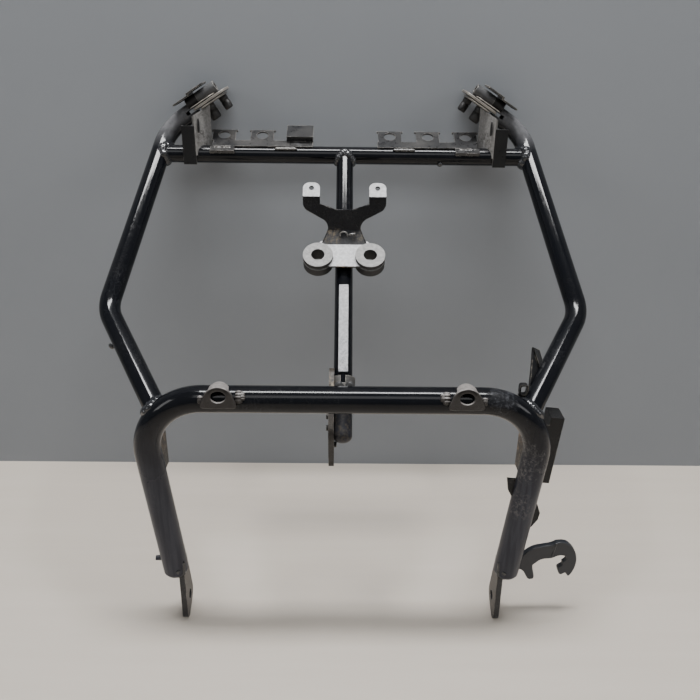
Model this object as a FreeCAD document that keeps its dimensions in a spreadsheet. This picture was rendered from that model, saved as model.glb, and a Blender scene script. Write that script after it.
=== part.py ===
import FreeCAD, Part
import math
import os
import Sketcher
from FreeCAD import Placement, Rotation, Vector

# A motorcycle front subframe, in millimetres.  The frame stands upright with the
# instrument side facing -Y.  The origin is midway between the two lower bolt holes,
# X runs to the right of someone who looks at the instruments and Z is up.

DRIVING_SIZES = (
    # lower hoop
    ("hoop_tube_diameter", 26.6, "outer diameter of the lower hoop"),
    ("tube_wall", 2.0, "wall of every tube"),
    ("hoop_forward", 13.0, "hoop plane ahead of the foot holes"),
    ("hoop_height", 255.0, "cross bar centre above the foot holes"),
    ("hoop_corner_half_width", 198.0, "half width where leg and cross bar axes meet"),
    ("hoop_corner_radius", 58.0, "bend radius of the hoop's centre line"),
    ("leg_end_forward", 8.5, "leg ends ahead of the foot holes"),
    ("leg_end_height", 44.0, "end of the leg tube above the foot holes"),
    ("leg_end_half_width", 178.6, "half width of the leg axes at their ends"),
    # foot plates
    ("foot_plate_inset", 9.6, "inner face of a foot plate inside the leg's axis"),
    ("foot_plate_thickness", 6.0, ""),
    ("foot_hole_diameter", 11.0, ""),
    ("foot_boss_radius", 14.0, "round of the plate about its hole"),
    ("foot_tip_radius", 7.0, ""),
    ("foot_tip_forward", 11.0, ""),
    ("foot_tip_drop", 14.0, ""),
    ("foot_top_radius", 8.0, ""),
    ("foot_top_forward", 6.0, ""),
    ("foot_top_height", 53.0, ""),
    # side tubes
    ("side_tube_diameter", 22.0, ""),
    ("side_bend_half_width", 250.6, "half width at the outward bend"),
    ("side_bend_back", 94.5, ""),
    ("side_bend_height", 304.0, ""),
    ("side_bend_radius", 42.0, ""),
    ("side_top_half_width", 211.5, "half width at the upper bend"),
    ("side_top_back", 275.5, ""),
    ("side_top_height", 466.0, ""),
    ("side_top_radius", 42.0, ""),
    ("side_end_length", 42.0, "from the upper bend's corner to the tube's end"),
    ("mirror_rise_angle", 32.0, "rise of the mirror mounts towards the middle"),
    # cross tube and centre tube
    ("cross_tube_diameter", 20.0, ""),
    ("cross_tube_back", 247.5, ""),
    ("centre_tube_diameter", 19.5, ""),
    ("centre_tube_angle", 44.6, "slope of the centre tube"),
    ("centre_tube_length", 340.0, ""),
    ("weld_leg", 3.0, "size of a weld fillet"),
    # instrument bracket
    ("bracket_sheet", 2.5, ""),
    ("bracket_along_tube", 122.5, "from the cross tube axis down the centre tube"),
    ("shelf_slope", 35.0, "shelf below the horizontal"),
    ("shelf_half_width", 26.0, ""),
    ("grommet_half_spacing", 28.4, ""),
    ("grommet_along_shelf", 22.5, ""),
    ("grommet_ring_radius", 12.0, "round of the shelf about a grommet"),
    ("grommet_diameter", 32.5, ""),
    ("grommet_groove_diameter", 20.0, ""),
    ("grommet_bore_diameter", 14.5, ""),
    ("grommet_top", 6.0, "top face above the middle of the shelf"),
    ("grommet_thickness", 17.0, ""),
    ("riser_height", 52.0, ""),
    ("riser_saddle_height", 37.0, ""),
    ("riser_saddle_half_width", 9.0, "flat bottom of the saddle between the ears"),
    ("riser_neck_height", 21.0, ""),
    ("riser_neck_half_width", 13.5, ""),
    ("riser_neck_round", 12.0, ""),
    ("riser_wing_drop", 14.0, "straight outer edge of the riser under an ear"),
    ("riser_wing_round", 10.0, ""),
    ("riser_saddle_round", 8.0, ""),
    ("riser_ear_drop", 9.0, "straight inner edge of the riser under an ear"),
    ("riser_root", 2.0, "riser below the fold"),
    ("ear_half_spacing", 35.8, ""),
    ("ear_width", 18.4, ""),
    ("ear_hole_diameter", 5.5, ""),
    ("ear_reach", 9.6, "from the ear's fold to its hole"),
    ("ear_length", 16.5, ""),
    ("ear_round", 7.0, ""),
    ("ear_lean", 45.0, "ears lean back from the upright"),
    # centre tube fittings
    ("rib_width", 10.0, ""),
    ("rib_height", 2.5, "rib above the tube's crown"),
    ("rib_clearance", 52.5, "rib ends short of the bracket's fold"),
    ("rib_from_end", 66.0, "from the tube's lower end"),
    ("head_plate_thickness", 5.5, ""),
    ("head_plate_sink", 0.8, "tube let into the head plate"),
    ("head_plate_top_radius", 13.0, ""),
    ("head_plate_tip_radius", 11.0, ""),
    ("head_plate_tip_back", 18.6, "behind the centre tube's end"),
    ("head_plate_tip_drop", 34.2, "below the centre tube's end"),
    ("pin_inset", 6.0, "pins behind the tip of the head plate"),
    ("pin_diameter", 6.0, ""),
    ("pin_length", 2.8, ""),
    ("saddle_length", 16.0, ""),
    ("saddle_sheet", 3.0, ""),
    ("saddle_from_end", 46.0, ""),
    ("saddle_notch_width", 5.0, ""),
    # panel strips
    ("strip_sheet", 2.0, ""),
    ("strip_slope", 28.0, ""),
    ("strip_band_depth", 11.0, ""),
    ("strip_tab_width", 27.0, ""),
    ("strip_tab_depth", 20.0, ""),
    ("strip_tab_hole_diameter", 14.0, ""),
    ("strip_tab_hole_reach", 21.0, ""),
    ("strip_ear", 2.0, ""),
    ("strip_clearance", 3.5, "outer end of a strip short of the gusset"),
    ("strip_length", 116.5, ""),
    ("strip_tab_inset", 11.5, "middle of the outer tab from the strip's outer end"),
    ("strip_tab_pitch", 45.0, ""),
    ("shelf_tab_width", 31.0, ""),
    ("shelf_tab_raise", 7.0, ""),
    ("support_width", 28.0, ""),
    ("support_depth", 9.0, ""),
    # corner gussets
    ("gusset_sheet", 2.5, ""),
    ("gusset_flange_width", 15.0, ""),
    ("gusset_outset", 12.1, "outer edge of the flange outside the side tube's end"),
    ("gusset_flange_rise", 33.0, "flange above the cross tube's axis"),
    ("gusset_web_length", 30.0, ""),
    ("gusset_web_turn", 30.0, ""),
    ("gusset_web_rise", 60.0, "web above the cross tube's axis before the mount trims it"),
    # mirror mounts
    ("mirror_plate_front", 28.0, "front edge of the plate ahead of the side tube's axis"),
    ("mirror_plate_lift", 1.3, "middle of the plate above the side tube's axis"),
    ("mirror_plate_depth", 42.0, ""),
    ("mirror_plate_length", 45.0, ""),
    ("mirror_plate_thickness", 4.0, ""),
    ("mirror_plate_tail", 12.0, "part of the plate let into the tube"),
    ("backing_thickness", 3.0, ""),
    ("backing_length", 32.0, ""),
    ("backing_inset", 6.0, "backing ends short of the plate"),
    ("sleeve_diameter", 13.0, ""),
    ("sleeve_bore", 8.0, ""),
    ("sleeve_start", 9.0, ""),
    ("sleeve_length", 26.0, ""),
    ("bush_diameter", 13.0, ""),
    ("bush_length", 14.0, ""),
    ("cover_thickness", 1.8, ""),
    ("cover_length", 22.0, ""),
    ("cover_step", 2.4, ""),
    ("cover_start", 3.0, ""),
    ("cover_inset", 6.0, "cover inside the plate's front and rear edges"),
    ("stud_front_diameter", 13.0, ""),
    ("stud_rear_diameter", 10.5, ""),
    ("stud_length", 15.0, ""),
    ("stud_bore", 6.4, ""),
    ("stud_front_reach", 13.5, ""),
    ("stud_front_back", 27.0, ""),
    ("stud_rear_reach", 33.0, ""),
    ("stud_rear_back", 32.0, ""),
    # hoop tabs
    ("hoop_tab_place", 116.0, ""),
    ("hoop_tab_base_width", 38.0, ""),
    ("hoop_tab_top_width", 22.0, ""),
    ("hoop_tab_top_round", 9.0, ""),
    ("hoop_tab_sink", 0.6, "tab let into the tube"),
    ("hoop_tab_height", 22.0, ""),
    ("hoop_tab_lean", 12.0, ""),
    ("hoop_tab_sheet", 2.5, ""),
    ("hoop_tab_hole_diameter", 15.0, ""),
    ("hoop_tab_flange", 24.0, ""),
    # small leg fittings
    ("leg_plate_sheet", 2.5, ""),
    ("leg_plate_height", 58.0, ""),
    ("leg_plate_drop", 87.0, "bottom edge below the cross bar's axis"),
    ("leg_plate_depth", 24.0, ""),
    ("leg_cap_height", 9.0, "domed weld that closes a leg"),
    ("clip_rise", 7.5, "hose clip above the leg's end"),
    ("clip_offset", 1.5, "hose clip beside the leg's axis"),
    ("clip_depth", 9.0, "hose clip from front to back"),
    ("clip_round", 6.0, ""),
    ("outer_bracket_width", 13.5, ""),
    ("outer_bracket_depth", 22.0, ""),
    ("outer_bracket_height", 77.0, ""),
    ("outer_bracket_sheet", 2.0, ""),
    ("outer_bracket_lean", 4.3, ""),
    ("outer_bracket_drop", 102.0, "lower edge below the cross bar's axis"),
    ("outer_bracket_offset", 11.9, "beside the leg's axis"),
    ("rear_bracket_back", 11.0, ""),
    ("loop_width", 8.0, ""),
    ("loop_depth", 10.0, ""),
    ("loop_wall", 1.2, ""),
    ("inner_tab_drop", 105.0, "below the cross bar's axis"),
    ("outer_tab_rise", 71.0, "above the leg's end"),
    ("leg_stud_diameter", 5.5, ""),
    ("leg_stud_length", 6.0, ""),
    ("leg_stud_rise", 14.0, "above the leg's end"),
)

doc = FreeCAD.newDocument("FrontSubframe")
sheet = doc.addObject("Spreadsheet::Sheet", "Sizes")
for row, (alias, number, note) in enumerate(DRIVING_SIZES, start=1):
    sheet.set(f"A{row}", alias.replace("_", " "))
    sheet.set(f"B{row}", str(number))
    sheet.setAlias(f"B{row}", alias)
    if note:
        sheet.set(f"C{row}", note)
doc.recompute()


class Size:
    """A size with its value and the formula that ties it to the sheet."""

    def __init__(self, value, text):
        self.value = float(value)
        self.text = text

    def join(self, other, sign, value):
        return Size(value, f"({self.text} {sign} {as_size(other).text})")

    def __add__(self, other):
        return self.join(other, "+", self.value + as_size(other).value)

    def __sub__(self, other):
        return self.join(other, "-", self.value - as_size(other).value)

    def __mul__(self, other):
        return self.join(other, "*", self.value * as_size(other).value)

    def __truediv__(self, other):
        return self.join(other, "/", self.value / as_size(other).value)

    def __neg__(self):
        return Size(-self.value, f"(-{self.text})")


def as_size(thing):
    return thing if isinstance(thing, Size) else Size(thing, f"{float(thing)}")


def size(alias):
    return Size(sheet.get(alias), f"Sizes.{alias}")


def mm(alias):
    return float(sheet.get(alias))


def bind(item, **sizes):
    for name, value in sizes.items():
        value = as_size(value)
        setattr(item, name, value.value)
        item.setExpression(name, value.text)


def box(name, length, width, height, placement):
    item = doc.addObject("Part::Box", name)
    bind(item, Length=length, Width=width, Height=height)
    item.Placement = placement
    return item


def cylinder(name, radius, height, placement):
    item = doc.addObject("Part::Cylinder", name)
    bind(item, Radius=radius, Height=height)
    item.Placement = placement
    return item


def fuse(name, parts):
    item = doc.addObject("Part::MultiFuse", name)
    item.Shapes = parts
    item.Refine = True
    return item


def cut(name, base, *tools):
    for number, tool in enumerate(tools, start=1):
        item = doc.addObject("Part::Cut", name if number == len(tools) else f"{name}_trim{number}")
        item.Base = base
        item.Tool = tool
        base = item
    return base


def common(name, first, second):
    item = doc.addObject("Part::MultiCommon", name)
    item.Shapes = [first, second]
    return item


nodes = []


def node(item, label):
    item.Label = label
    nodes.append(item)
    return item


def frame_of(origin, x_axis, z_axis):
    """A placement whose local X and Z axes point as given."""
    y_axis = z_axis.cross(x_axis)
    return Placement(origin, Rotation(x_axis, y_axis, z_axis, "ZXY"))


def along(origin, direction):
    """A placement whose local Z axis points along the direction."""
    return Placement(origin, Rotation(Vector(0, 0, 1), direction))


def bent_rod(name, corners, bends, radius):
    """A round rod: straight runs joined by tangent bends at each inner corner."""
    pieces = []
    start = corners[0]
    for number, bend in enumerate(bends, start=1):
        corner = corners[number]
        back = (corners[number - 1] - corner).normalize()
        ahead = (corners[number + 1] - corner).normalize()
        half = back.getAngle(ahead) / 2
        first = corner + back * (bend.value / math.tan(half))
        centre = corner + (back + ahead).normalize() * (bend.value / math.sin(half))
        axis = (first - centre).cross(Vector(0, 0, 0) - back).normalize()
        pieces.append(cylinder(f"{name}_run{number}", radius, (first - start).Length, along(start, first - start)))
        turn = doc.addObject("Part::Torus", f"{name}_bend{number}")
        bind(turn, Radius1=bend, Radius2=radius)
        turn.Angle3 = 180 - math.degrees(2 * half)
        turn.Placement = frame_of(centre, (first - centre).normalize(), axis)
        pieces.append(turn)
        start = corner + ahead * (bend.value / math.tan(half))
    last = corners[-1] - start
    pieces.append(cylinder(f"{name}_run{len(bends) + 1}", radius, last.Length, along(start, last)))
    return fuse(name, pieces)


def body_sketch(body, role):
    """A new sketch on one of the body's own origin planes."""
    plane = next(item for item in body.Origin.OriginFeatures if item.Role == role)
    sketch = body.newObject("Sketcher::SketchObject", body.Name + "_sketch")
    sketch.AttachmentSupport = (plane, [""])
    sketch.MapMode = "FlatFace"
    return sketch


def constrain(sketch, kind, *where, value):
    """Adds one dimension and ties it to the sheet."""
    value = as_size(value)
    index = sketch.addConstraint(Sketcher.Constraint(kind, *where, value.value))
    sketch.setExpression(f"Constraints[{index}]", value.text)


def centre_at(sketch, geometry, point, across, up):
    constrain(sketch, "DistanceX", -1, 1, geometry, point, value=across)
    constrain(sketch, "DistanceY", -1, 1, geometry, point, value=up)


def add_hull(sketch, circles):
    """The outline that runs round several circles, given counterclockwise as (x, y, radius)."""
    count = len(circles)
    touch = []
    for number, (across, up, radius) in enumerate(circles):
        other = circles[(number + 1) % count]
        first = Vector(across.value, up.value, 0)
        second = Vector(other[0].value, other[1].value, 0)
        line = second - first
        turn = math.asin((radius.value - other[2].value) / line.Length)
        heading = math.atan2(line.y, line.x) - math.pi / 2 + turn
        outward = Vector(math.cos(heading), math.sin(heading), 0)
        touch.append((heading, first + outward * radius.value, second + outward * other[2].value))
    arcs = []
    lines = []
    for number, (across, up, radius) in enumerate(circles):
        heading, start, end = touch[number]
        arriving = touch[number - 1][0]
        while heading < arriving:
            heading += 2 * math.pi
        middle = Vector(across.value, up.value, 0)
        round_edge = Part.Circle(middle, Vector(0, 0, 1), radius.value)
        arcs.append(sketch.addGeometry(Part.ArcOfCircle(round_edge, arriving, heading), False))
        lines.append(sketch.addGeometry(Part.LineSegment(start, end), False))
    for number in range(count):
        following = arcs[(number + 1) % count]
        sketch.addConstraint(Sketcher.Constraint("Tangent", arcs[number], 2, lines[number], 1))
        sketch.addConstraint(Sketcher.Constraint("Tangent", lines[number], 2, following, 1))
    for arc, (across, up, radius) in zip(arcs, circles):
        centre_at(sketch, arc, 3, across, up)
        constrain(sketch, "Radius", arc, value=radius)


def add_polygon(sketch, points):
    """A closed outline of straight edges through the given points."""
    count = len(points)
    places = [Vector(across.value, up.value, 0) for across, up in points]
    lines = []
    for number, place in enumerate(places):
        edge = Part.LineSegment(place, places[(number + 1) % count])
        lines.append(sketch.addGeometry(edge, False))
    for number in range(count):
        following = lines[(number + 1) % count]
        sketch.addConstraint(Sketcher.Constraint("Coincident", lines[number], 2, following, 1))
    for line, (across, up) in zip(lines, points):
        centre_at(sketch, line, 1, across, up)


def add_hole(sketch, across, up, diameter):
    spot = Vector(across.value, up.value, 0)
    index = sketch.addGeometry(Part.Circle(spot, Vector(0, 0, 1), diameter.value / 2), False)
    centre_at(sketch, index, 3, across, up)
    constrain(sketch, "Diameter", index, value=diameter)


def pad(body, sketch, length):
    feature = body.newObject("PartDesign::Pad", body.Name + "_pad")
    feature.Profile = sketch
    bind(feature, Length=length)
    body.Tip = feature
    return feature


def plate(name, role, thickness, holes=(), hull=None, polygon=None):
    """A flat plate cut from sheet: an outline with round holes, on one origin plane."""
    body = doc.addObject("PartDesign::Body", name)
    sketch = body_sketch(body, role)
    if hull:
        add_hull(sketch, [tuple(as_size(value) for value in circle) for circle in hull])
    if polygon:
        add_polygon(sketch, [tuple(as_size(value) for value in point) for point in polygon])
    for across, up, diameter in holes:
        add_hole(sketch, as_size(across), as_size(up), as_size(diameter))
    pad(body, sketch, thickness)
    return body


def round_corners(body, radius, corners, name="corners"):
    """Rounds the plate's upright edges that stand at the given sketch corners."""
    doc.recompute()
    base = body.Tip
    names = []
    for number, edge in enumerate(base.Shape.Edges, start=1):
        if len(edge.Vertexes) < 2:
            continue
        first, last = (vertex.Point for vertex in edge.Vertexes)
        for corner in corners:
            if first.distanceToPoint(last) > 0.01 and all(
                math.hypot(point[0] - corner[0], point[1] - corner[1]) < 0.05
                for point in (flat(body, first), flat(body, last))
            ):
                names.append(f"Edge{number}")
    feature = body.newObject("PartDesign::Fillet", f"{body.Name}_{name}")
    feature.Base = (base, names)
    bind(feature, Radius=radius)
    body.Tip = feature
    return feature


def flat(body, point):
    """A point of the body in the two coordinates of its sketch plane."""
    sketch = next(item for item in body.Group if item.TypeId == "Sketcher::SketchObject")
    local = sketch.Placement.inverse().multVec(point)
    return local.x, local.y


SIDES = (("left", -1), ("right", 1))

# Lower hoop: two legs and a cross bar bent from one tube.
hoop_radius = size("hoop_tube_diameter") / 2
hoop_bore = hoop_radius - size("tube_wall")
hoop_y = -mm("hoop_forward")
hoop_corners = [
    Vector(-mm("leg_end_half_width"), -mm("leg_end_forward"), mm("leg_end_height")),
    Vector(-mm("hoop_corner_half_width"), hoop_y, mm("hoop_height")),
    Vector(mm("hoop_corner_half_width"), hoop_y, mm("hoop_height")),
    Vector(mm("leg_end_half_width"), -mm("leg_end_forward"), mm("leg_end_height")),
]
leg_direction = (hoop_corners[1] - hoop_corners[0]).normalize()
hoop_bends = [size("hoop_corner_radius")] * 2
hoop_outer = bent_rod("hoop_outer", hoop_corners, hoop_bends, hoop_radius)
hoop_inner = bent_rod("hoop_inner", hoop_corners, hoop_bends, hoop_bore)
hoop_tube = cut("hoop_tube", hoop_outer, hoop_inner)


def hoop_corner_middle(sign):
    """The middle of a hoop bend on its centre line."""
    corner = Vector(sign * mm("hoop_corner_half_width"), hoop_y, mm("hoop_height"))
    down_leg = Vector(sign * leg_direction.x, -leg_direction.y, -leg_direction.z)
    inward = Vector(-sign, 0, 0)
    half = down_leg.getAngle(inward) / 2
    radius = mm("hoop_corner_radius")
    return corner + (down_leg + inward).normalize() * (radius / math.sin(half) - radius)


def leg_axis(height):
    """Half width of the legs' axes at a height."""
    share = (height - mm("leg_end_height")) / (mm("hoop_height") - mm("leg_end_height"))
    return mm("leg_end_half_width") + share * (mm("hoop_corner_half_width") - mm("leg_end_half_width"))


# Foot plates: a tongue with one bolt hole, let into the inner side of each leg.
foot_plates = {}
for side, sign in SIDES:
    foot = plate(
        f"{side}_foot_plate",
        "YZ_Plane",
        size("foot_plate_thickness"),
        holes=[(0, 0, size("foot_hole_diameter"))],
        hull=[
            (-size("foot_tip_forward"), -size("foot_tip_drop"), size("foot_tip_radius")),
            (0, 0, size("foot_boss_radius")),
            (-size("foot_top_forward"), size("foot_top_height"), size("foot_top_radius")),
        ],
    )
    inner = mm("leg_end_half_width") - mm("foot_plate_inset")
    start = inner if sign > 0 else -inner - mm("foot_plate_thickness")
    foot.Placement = Placement(Vector(start, 0, 0), Rotation())
    foot_plates[side] = node(foot, f"{side}_foot_plate")

node(cut("lower_hoop", hoop_tube, foot_plates["left"], foot_plates["right"]), "lower_hoop")

# Side tubes: from the hoop's corners out and back, then up to the mirror mounts.
side_radius = size("side_tube_diameter") / 2
side_bore = side_radius - size("tube_wall")
rise = math.radians(mm("mirror_rise_angle"))
side_outers = {}
high_collars = {}
low_welds = {}
side_tubes = {}
side_ends = {}


def side_bend(sign):
    return Vector(sign * mm("side_bend_half_width"), mm("side_bend_back"), mm("side_bend_height"))


def low_side_axis(sign, back):
    """The point on a side tube's lower run at a distance behind the foot holes."""
    start = hoop_corner_middle(sign)
    run = side_bend(sign) - start
    return start + run * ((back - start.y) / run.y)


for side, sign in SIDES:
    top = Vector(sign * mm("side_top_half_width"), mm("side_top_back"), mm("side_top_height"))
    bend = side_bend(sign)
    inward = Vector(-sign * math.cos(rise), 0, math.sin(rise))
    side_ends[side] = top + inward * mm("side_end_length")
    corners = [hoop_corner_middle(sign), bend, top, side_ends[side]]
    bends = [size("side_bend_radius"), size("side_top_radius")]
    side_outers[side] = bent_rod(f"{side}_side_outer", corners, bends, side_radius)
    bore = bent_rod(f"{side}_side_bore", corners, bends, side_bore)
    side_tubes[side] = cut(f"{side}_side_hollow", side_outers[side], bore, hoop_outer)
    low_collar = cylinder(
        f"{side}_low_collar",
        side_radius + size("weld_leg"),
        size("hoop_tube_diameter") * 2,
        along(corners[0], corners[1] - corners[0]),
    )
    down_leg = Vector(sign * leg_direction.x, -leg_direction.y, -leg_direction.z)
    tangent = (down_leg + Vector(sign, 0, 0)).normalize()
    hoop_collar = cylinder(
        f"{side}_hoop_collar",
        hoop_radius + size("weld_leg"),
        size("side_tube_diameter") * 4,
        along(corners[0] - tangent * (mm("side_tube_diameter") * 2), tangent),
    )
    weld = common(f"{side}_low_weld_overlap", low_collar, hoop_collar)
    low_weld = cut(f"{side}_lower_weld", weld, hoop_outer, side_outers[side])
    low_welds[side] = node(low_weld, f"{side}_lower_weld")
    high_collars[side] = cylinder(
        f"{side}_high_collar",
        side_radius + size("weld_leg"),
        size("cross_tube_diameter") * 3,
        along(top + (bend - top).normalize() * 5, bend - top),
    )

# Cross tube between the side tubes and the centre tube that slopes down from it.
share = (mm("cross_tube_back") - mm("side_bend_back")) / (mm("side_top_back") - mm("side_bend_back"))
cross_half = mm("side_bend_half_width") + share * (mm("side_top_half_width") - mm("side_bend_half_width"))
cross_z = mm("side_bend_height") + share * (mm("side_top_height") - mm("side_bend_height"))
cross_y = mm("cross_tube_back")
cross_radius = size("cross_tube_diameter") / 2
cross_place = along(Vector(-cross_half, cross_y, cross_z), Vector(1, 0, 0))
cross_outer = cylinder("cross_outer", cross_radius, 2 * cross_half, cross_place)
cross_bore = cylinder("cross_bore", cross_radius - size("tube_wall"), 2 * cross_half, cross_place)
cross_tube = cut(
    "upper_cross_tube", cross_outer, cross_bore, side_outers["left"], side_outers["right"]
)
node(cross_tube, "upper_cross_tube")

slope = math.radians(mm("centre_tube_angle"))
down_tube = Vector(0, -math.cos(slope), -math.sin(slope))
crown = Vector(0, -math.sin(slope), math.cos(slope))
centre_radius = size("centre_tube_diameter") / 2
centre_place = along(Vector(0, cross_y, cross_z), down_tube)
centre_outer = cylinder("centre_outer", centre_radius, size("centre_tube_length"), centre_place)
centre_bore = cylinder(
    "centre_bore", centre_radius - size("tube_wall"), size("centre_tube_length"), centre_place
)
node(cut("centre_tube", centre_outer, centre_bore, cross_outer), "centre_tube")
centre_end = Vector(0, cross_y, cross_z) + down_tube * mm("centre_tube_length")


def on_centre_tube(from_end, height=0.0, across=0.0):
    """A point beside the centre tube's axis, measured from its lower end."""
    return centre_end - down_tube * from_end + crown * height + Vector(across, 0, 0)


# Weld fillets round the tube joints.
cross_collar = cylinder("cross_collar", cross_radius + size("weld_leg"), 2 * cross_half, cross_place)
centre_collar = cylinder(
    "centre_collar", centre_radius + size("weld_leg"), size("centre_tube_diameter") * 2, centre_place
)
weld = common("centre_weld_overlap", cross_collar, centre_collar)
node(cut("centre_weld", weld, cross_outer, centre_outer), "centre_weld")
for side, sign in SIDES:
    weld = common(f"{side}_high_weld_overlap", cross_collar, high_collars[side])
    node(cut(f"{side}_upper_weld", weld, cross_outer, side_outers[side]), f"{side}_upper_weld")

# Instrument bracket: one folded sheet with a shelf, a riser and two ears.
sheet_thick = size("bracket_sheet")
fold = Vector(0, cross_y, cross_z) + down_tube * mm("bracket_along_tube") + crown * centre_radius.value
shelf = plate(
    "bracket_shelf",
    "XY_Plane",
    sheet_thick,
    holes=[
        (-size("grommet_half_spacing"), -size("grommet_along_shelf"), size("grommet_groove_diameter")),
        (size("grommet_half_spacing"), -size("grommet_along_shelf"), size("grommet_groove_diameter")),
    ],
    hull=[
        (-size("grommet_half_spacing"), -size("grommet_along_shelf"), size("grommet_ring_radius")),
        (size("grommet_half_spacing"), -size("grommet_along_shelf"), size("grommet_ring_radius")),
        (size("shelf_half_width") - 1, -1, 1),
        (-size("shelf_half_width") + 1, -1, 1),
    ],
)
shelf_tilt = math.radians(mm("shelf_slope"))
shelf_up = Vector(0, -math.sin(shelf_tilt), math.cos(shelf_tilt))
shelf.Placement = frame_of(fold, Vector(1, 0, 0), shelf_up)
ear_half = size("ear_width") / 2
ear_inner = size("ear_half_spacing") - ear_half
ear_outer = size("ear_half_spacing") + ear_half
neck = size("riser_neck_half_width")
saddle_half = size("riser_saddle_half_width")
wing_height = size("riser_height") - size("riser_wing_drop")
saddle_edge = size("riser_height") - size("riser_ear_drop")
riser = plate(
    "bracket_riser",
    "XZ_Plane",
    sheet_thick,
    polygon=[
        (-size("shelf_half_width"), -size("riser_root")),
        (size("shelf_half_width"), -size("riser_root")),
        (neck, size("riser_neck_height")),
        (ear_outer, wing_height),
        (ear_outer, size("riser_height")),
        (ear_inner, size("riser_height")),
        (ear_inner, saddle_edge),
        (saddle_half, size("riser_saddle_height")),
        (-saddle_half, size("riser_saddle_height")),
        (-ear_inner, saddle_edge),
        (-ear_inner, size("riser_height")),
        (-ear_outer, size("riser_height")),
        (-ear_outer, wing_height),
        (-neck, size("riser_neck_height")),
    ],
)
for name, radius, across, height in (
    ("neck", size("riser_neck_round"), neck, size("riser_neck_height")),
    ("wings", size("riser_wing_round"), ear_outer, wing_height),
    ("saddle", size("riser_saddle_round"), saddle_half, size("riser_saddle_height")),
):
    round_corners(riser, radius, [(-across.value, height.value), (across.value, height.value)], name)
riser.Placement = Placement(fold + Vector(0, mm("bracket_sheet") / 2, 0), Rotation())
lean = math.radians(mm("ear_lean"))
ear_up = Vector(0, math.sin(lean), math.cos(lean))
ear_face = Vector(0, -math.cos(lean), math.sin(lean))
ear_round = size("ear_round")
ears = []
for side, sign in SIDES:
    ear = plate(
        f"{side}_bracket_ear",
        "XY_Plane",
        sheet_thick,
        holes=[(0, size("ear_reach"), size("ear_hole_diameter"))],
        hull=[
            (-ear_half + 1, 0, 1),
            (ear_half - 1, 0, 1),
            (ear_half - ear_round, size("ear_length") - ear_round, ear_round),
            (ear_round - ear_half, size("ear_length") - ear_round, ear_round),
        ],
    )
    hinge = fold + Vector(sign * mm("ear_half_spacing"), -mm("bracket_sheet") / 2, mm("riser_height"))
    ear.Placement = frame_of(hinge - ear_face * mm("bracket_sheet"), Vector(1, 0, 0), ear_face)
    ears.append(ear)
bracket = fuse("bracket_blank", [shelf, riser] + ears)
bracket = cut("instrument_bracket", bracket, centre_outer)
node(bracket, "instrument_bracket")

# Grommets: two rubber discs with a groove that the shelf sits in.
for side, sign in SIDES:
    place = shelf.Placement.multiply(
        Placement(
            Vector(sign * mm("grommet_half_spacing"), -mm("grommet_along_shelf"), mm("bracket_sheet") / 2),
            Rotation(),
        )
    )
    thickness = size("grommet_thickness")
    low = place.multiply(Placement(Vector(0, 0, mm("grommet_top") - thickness.value), Rotation()))
    disc = cylinder(f"{side}_grommet_disc", size("grommet_diameter") / 2, thickness, low)
    bore = cylinder(f"{side}_grommet_bore", size("grommet_bore_diameter") / 2, thickness, low)
    groove_low = place.multiply(Placement(Vector(0, 0, -mm("bracket_sheet") / 2), Rotation()))
    ring = cylinder(f"{side}_groove_ring", size("grommet_diameter") / 2 + 1, sheet_thick, groove_low)
    core = cylinder(
        f"{side}_groove_core", size("grommet_groove_diameter") / 2, sheet_thick, groove_low
    )
    groove = cut(f"{side}_groove", ring, core)
    node(cut(f"{side}_grommet", disc, bore, groove), f"{side}_grommet")

# Flat rib on the crown of the centre tube.
rib_place = frame_of(
    on_centre_tube(mm("rib_from_end"), mm("centre_tube_diameter") / 2 - 3, -mm("rib_width") / 2),
    Vector(1, 0, 0),
    crown,
)
rib_length = size("centre_tube_length") - size("bracket_along_tube") - size("rib_clearance") - size("rib_from_end")
rib = box("rib_bar", size("rib_width"), rib_length, size("rib_height") + 3, rib_place)
node(cut("centre_rib", rib, centre_outer), "centre_rib")

# Head plate on the left of the centre tube's lower end.
plate_top = on_centre_tube(62)
plate_middle = on_centre_tube(6)
tip_back = centre_end.y + mm("head_plate_tip_back")
tip_height = centre_end.z - mm("head_plate_tip_drop")
head = plate(
    "head_plate_blank",
    "YZ_Plane",
    size("head_plate_thickness"),
    hull=[
        (tip_back, tip_height, size("head_plate_tip_radius")),
        (plate_top.y, plate_top.z, size("head_plate_top_radius") - 2),
        (plate_top.y - 6, plate_top.z - 6, size("head_plate_top_radius")),
        (plate_middle.y, plate_middle.z, size("head_plate_top_radius")),
    ],
)
head_x = -mm("centre_tube_diameter") / 2 + mm("head_plate_sink") - mm("head_plate_thickness")
head.Placement = Placement(Vector(head_x, 0, 0), Rotation())
node(cut("head_plate", head, centre_outer), "head_plate")
pins = []
for number, (start_x, rise_above) in enumerate(
    (
        (head_x - mm("pin_length"), 44),
        (head_x - mm("pin_length"), 30),
        (head_x + mm("head_plate_thickness"), 10),
    ),
    start=1,
):
    spot = Vector(start_x, tip_back + mm("pin_inset"), tip_height + rise_above)
    pins.append(
        cylinder(f"head_pin{number}", size("pin_diameter") / 2, size("pin_length"), along(spot, Vector(1, 0, 0)))
    )
node(fuse("head_pins", pins), "head_pins")

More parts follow.
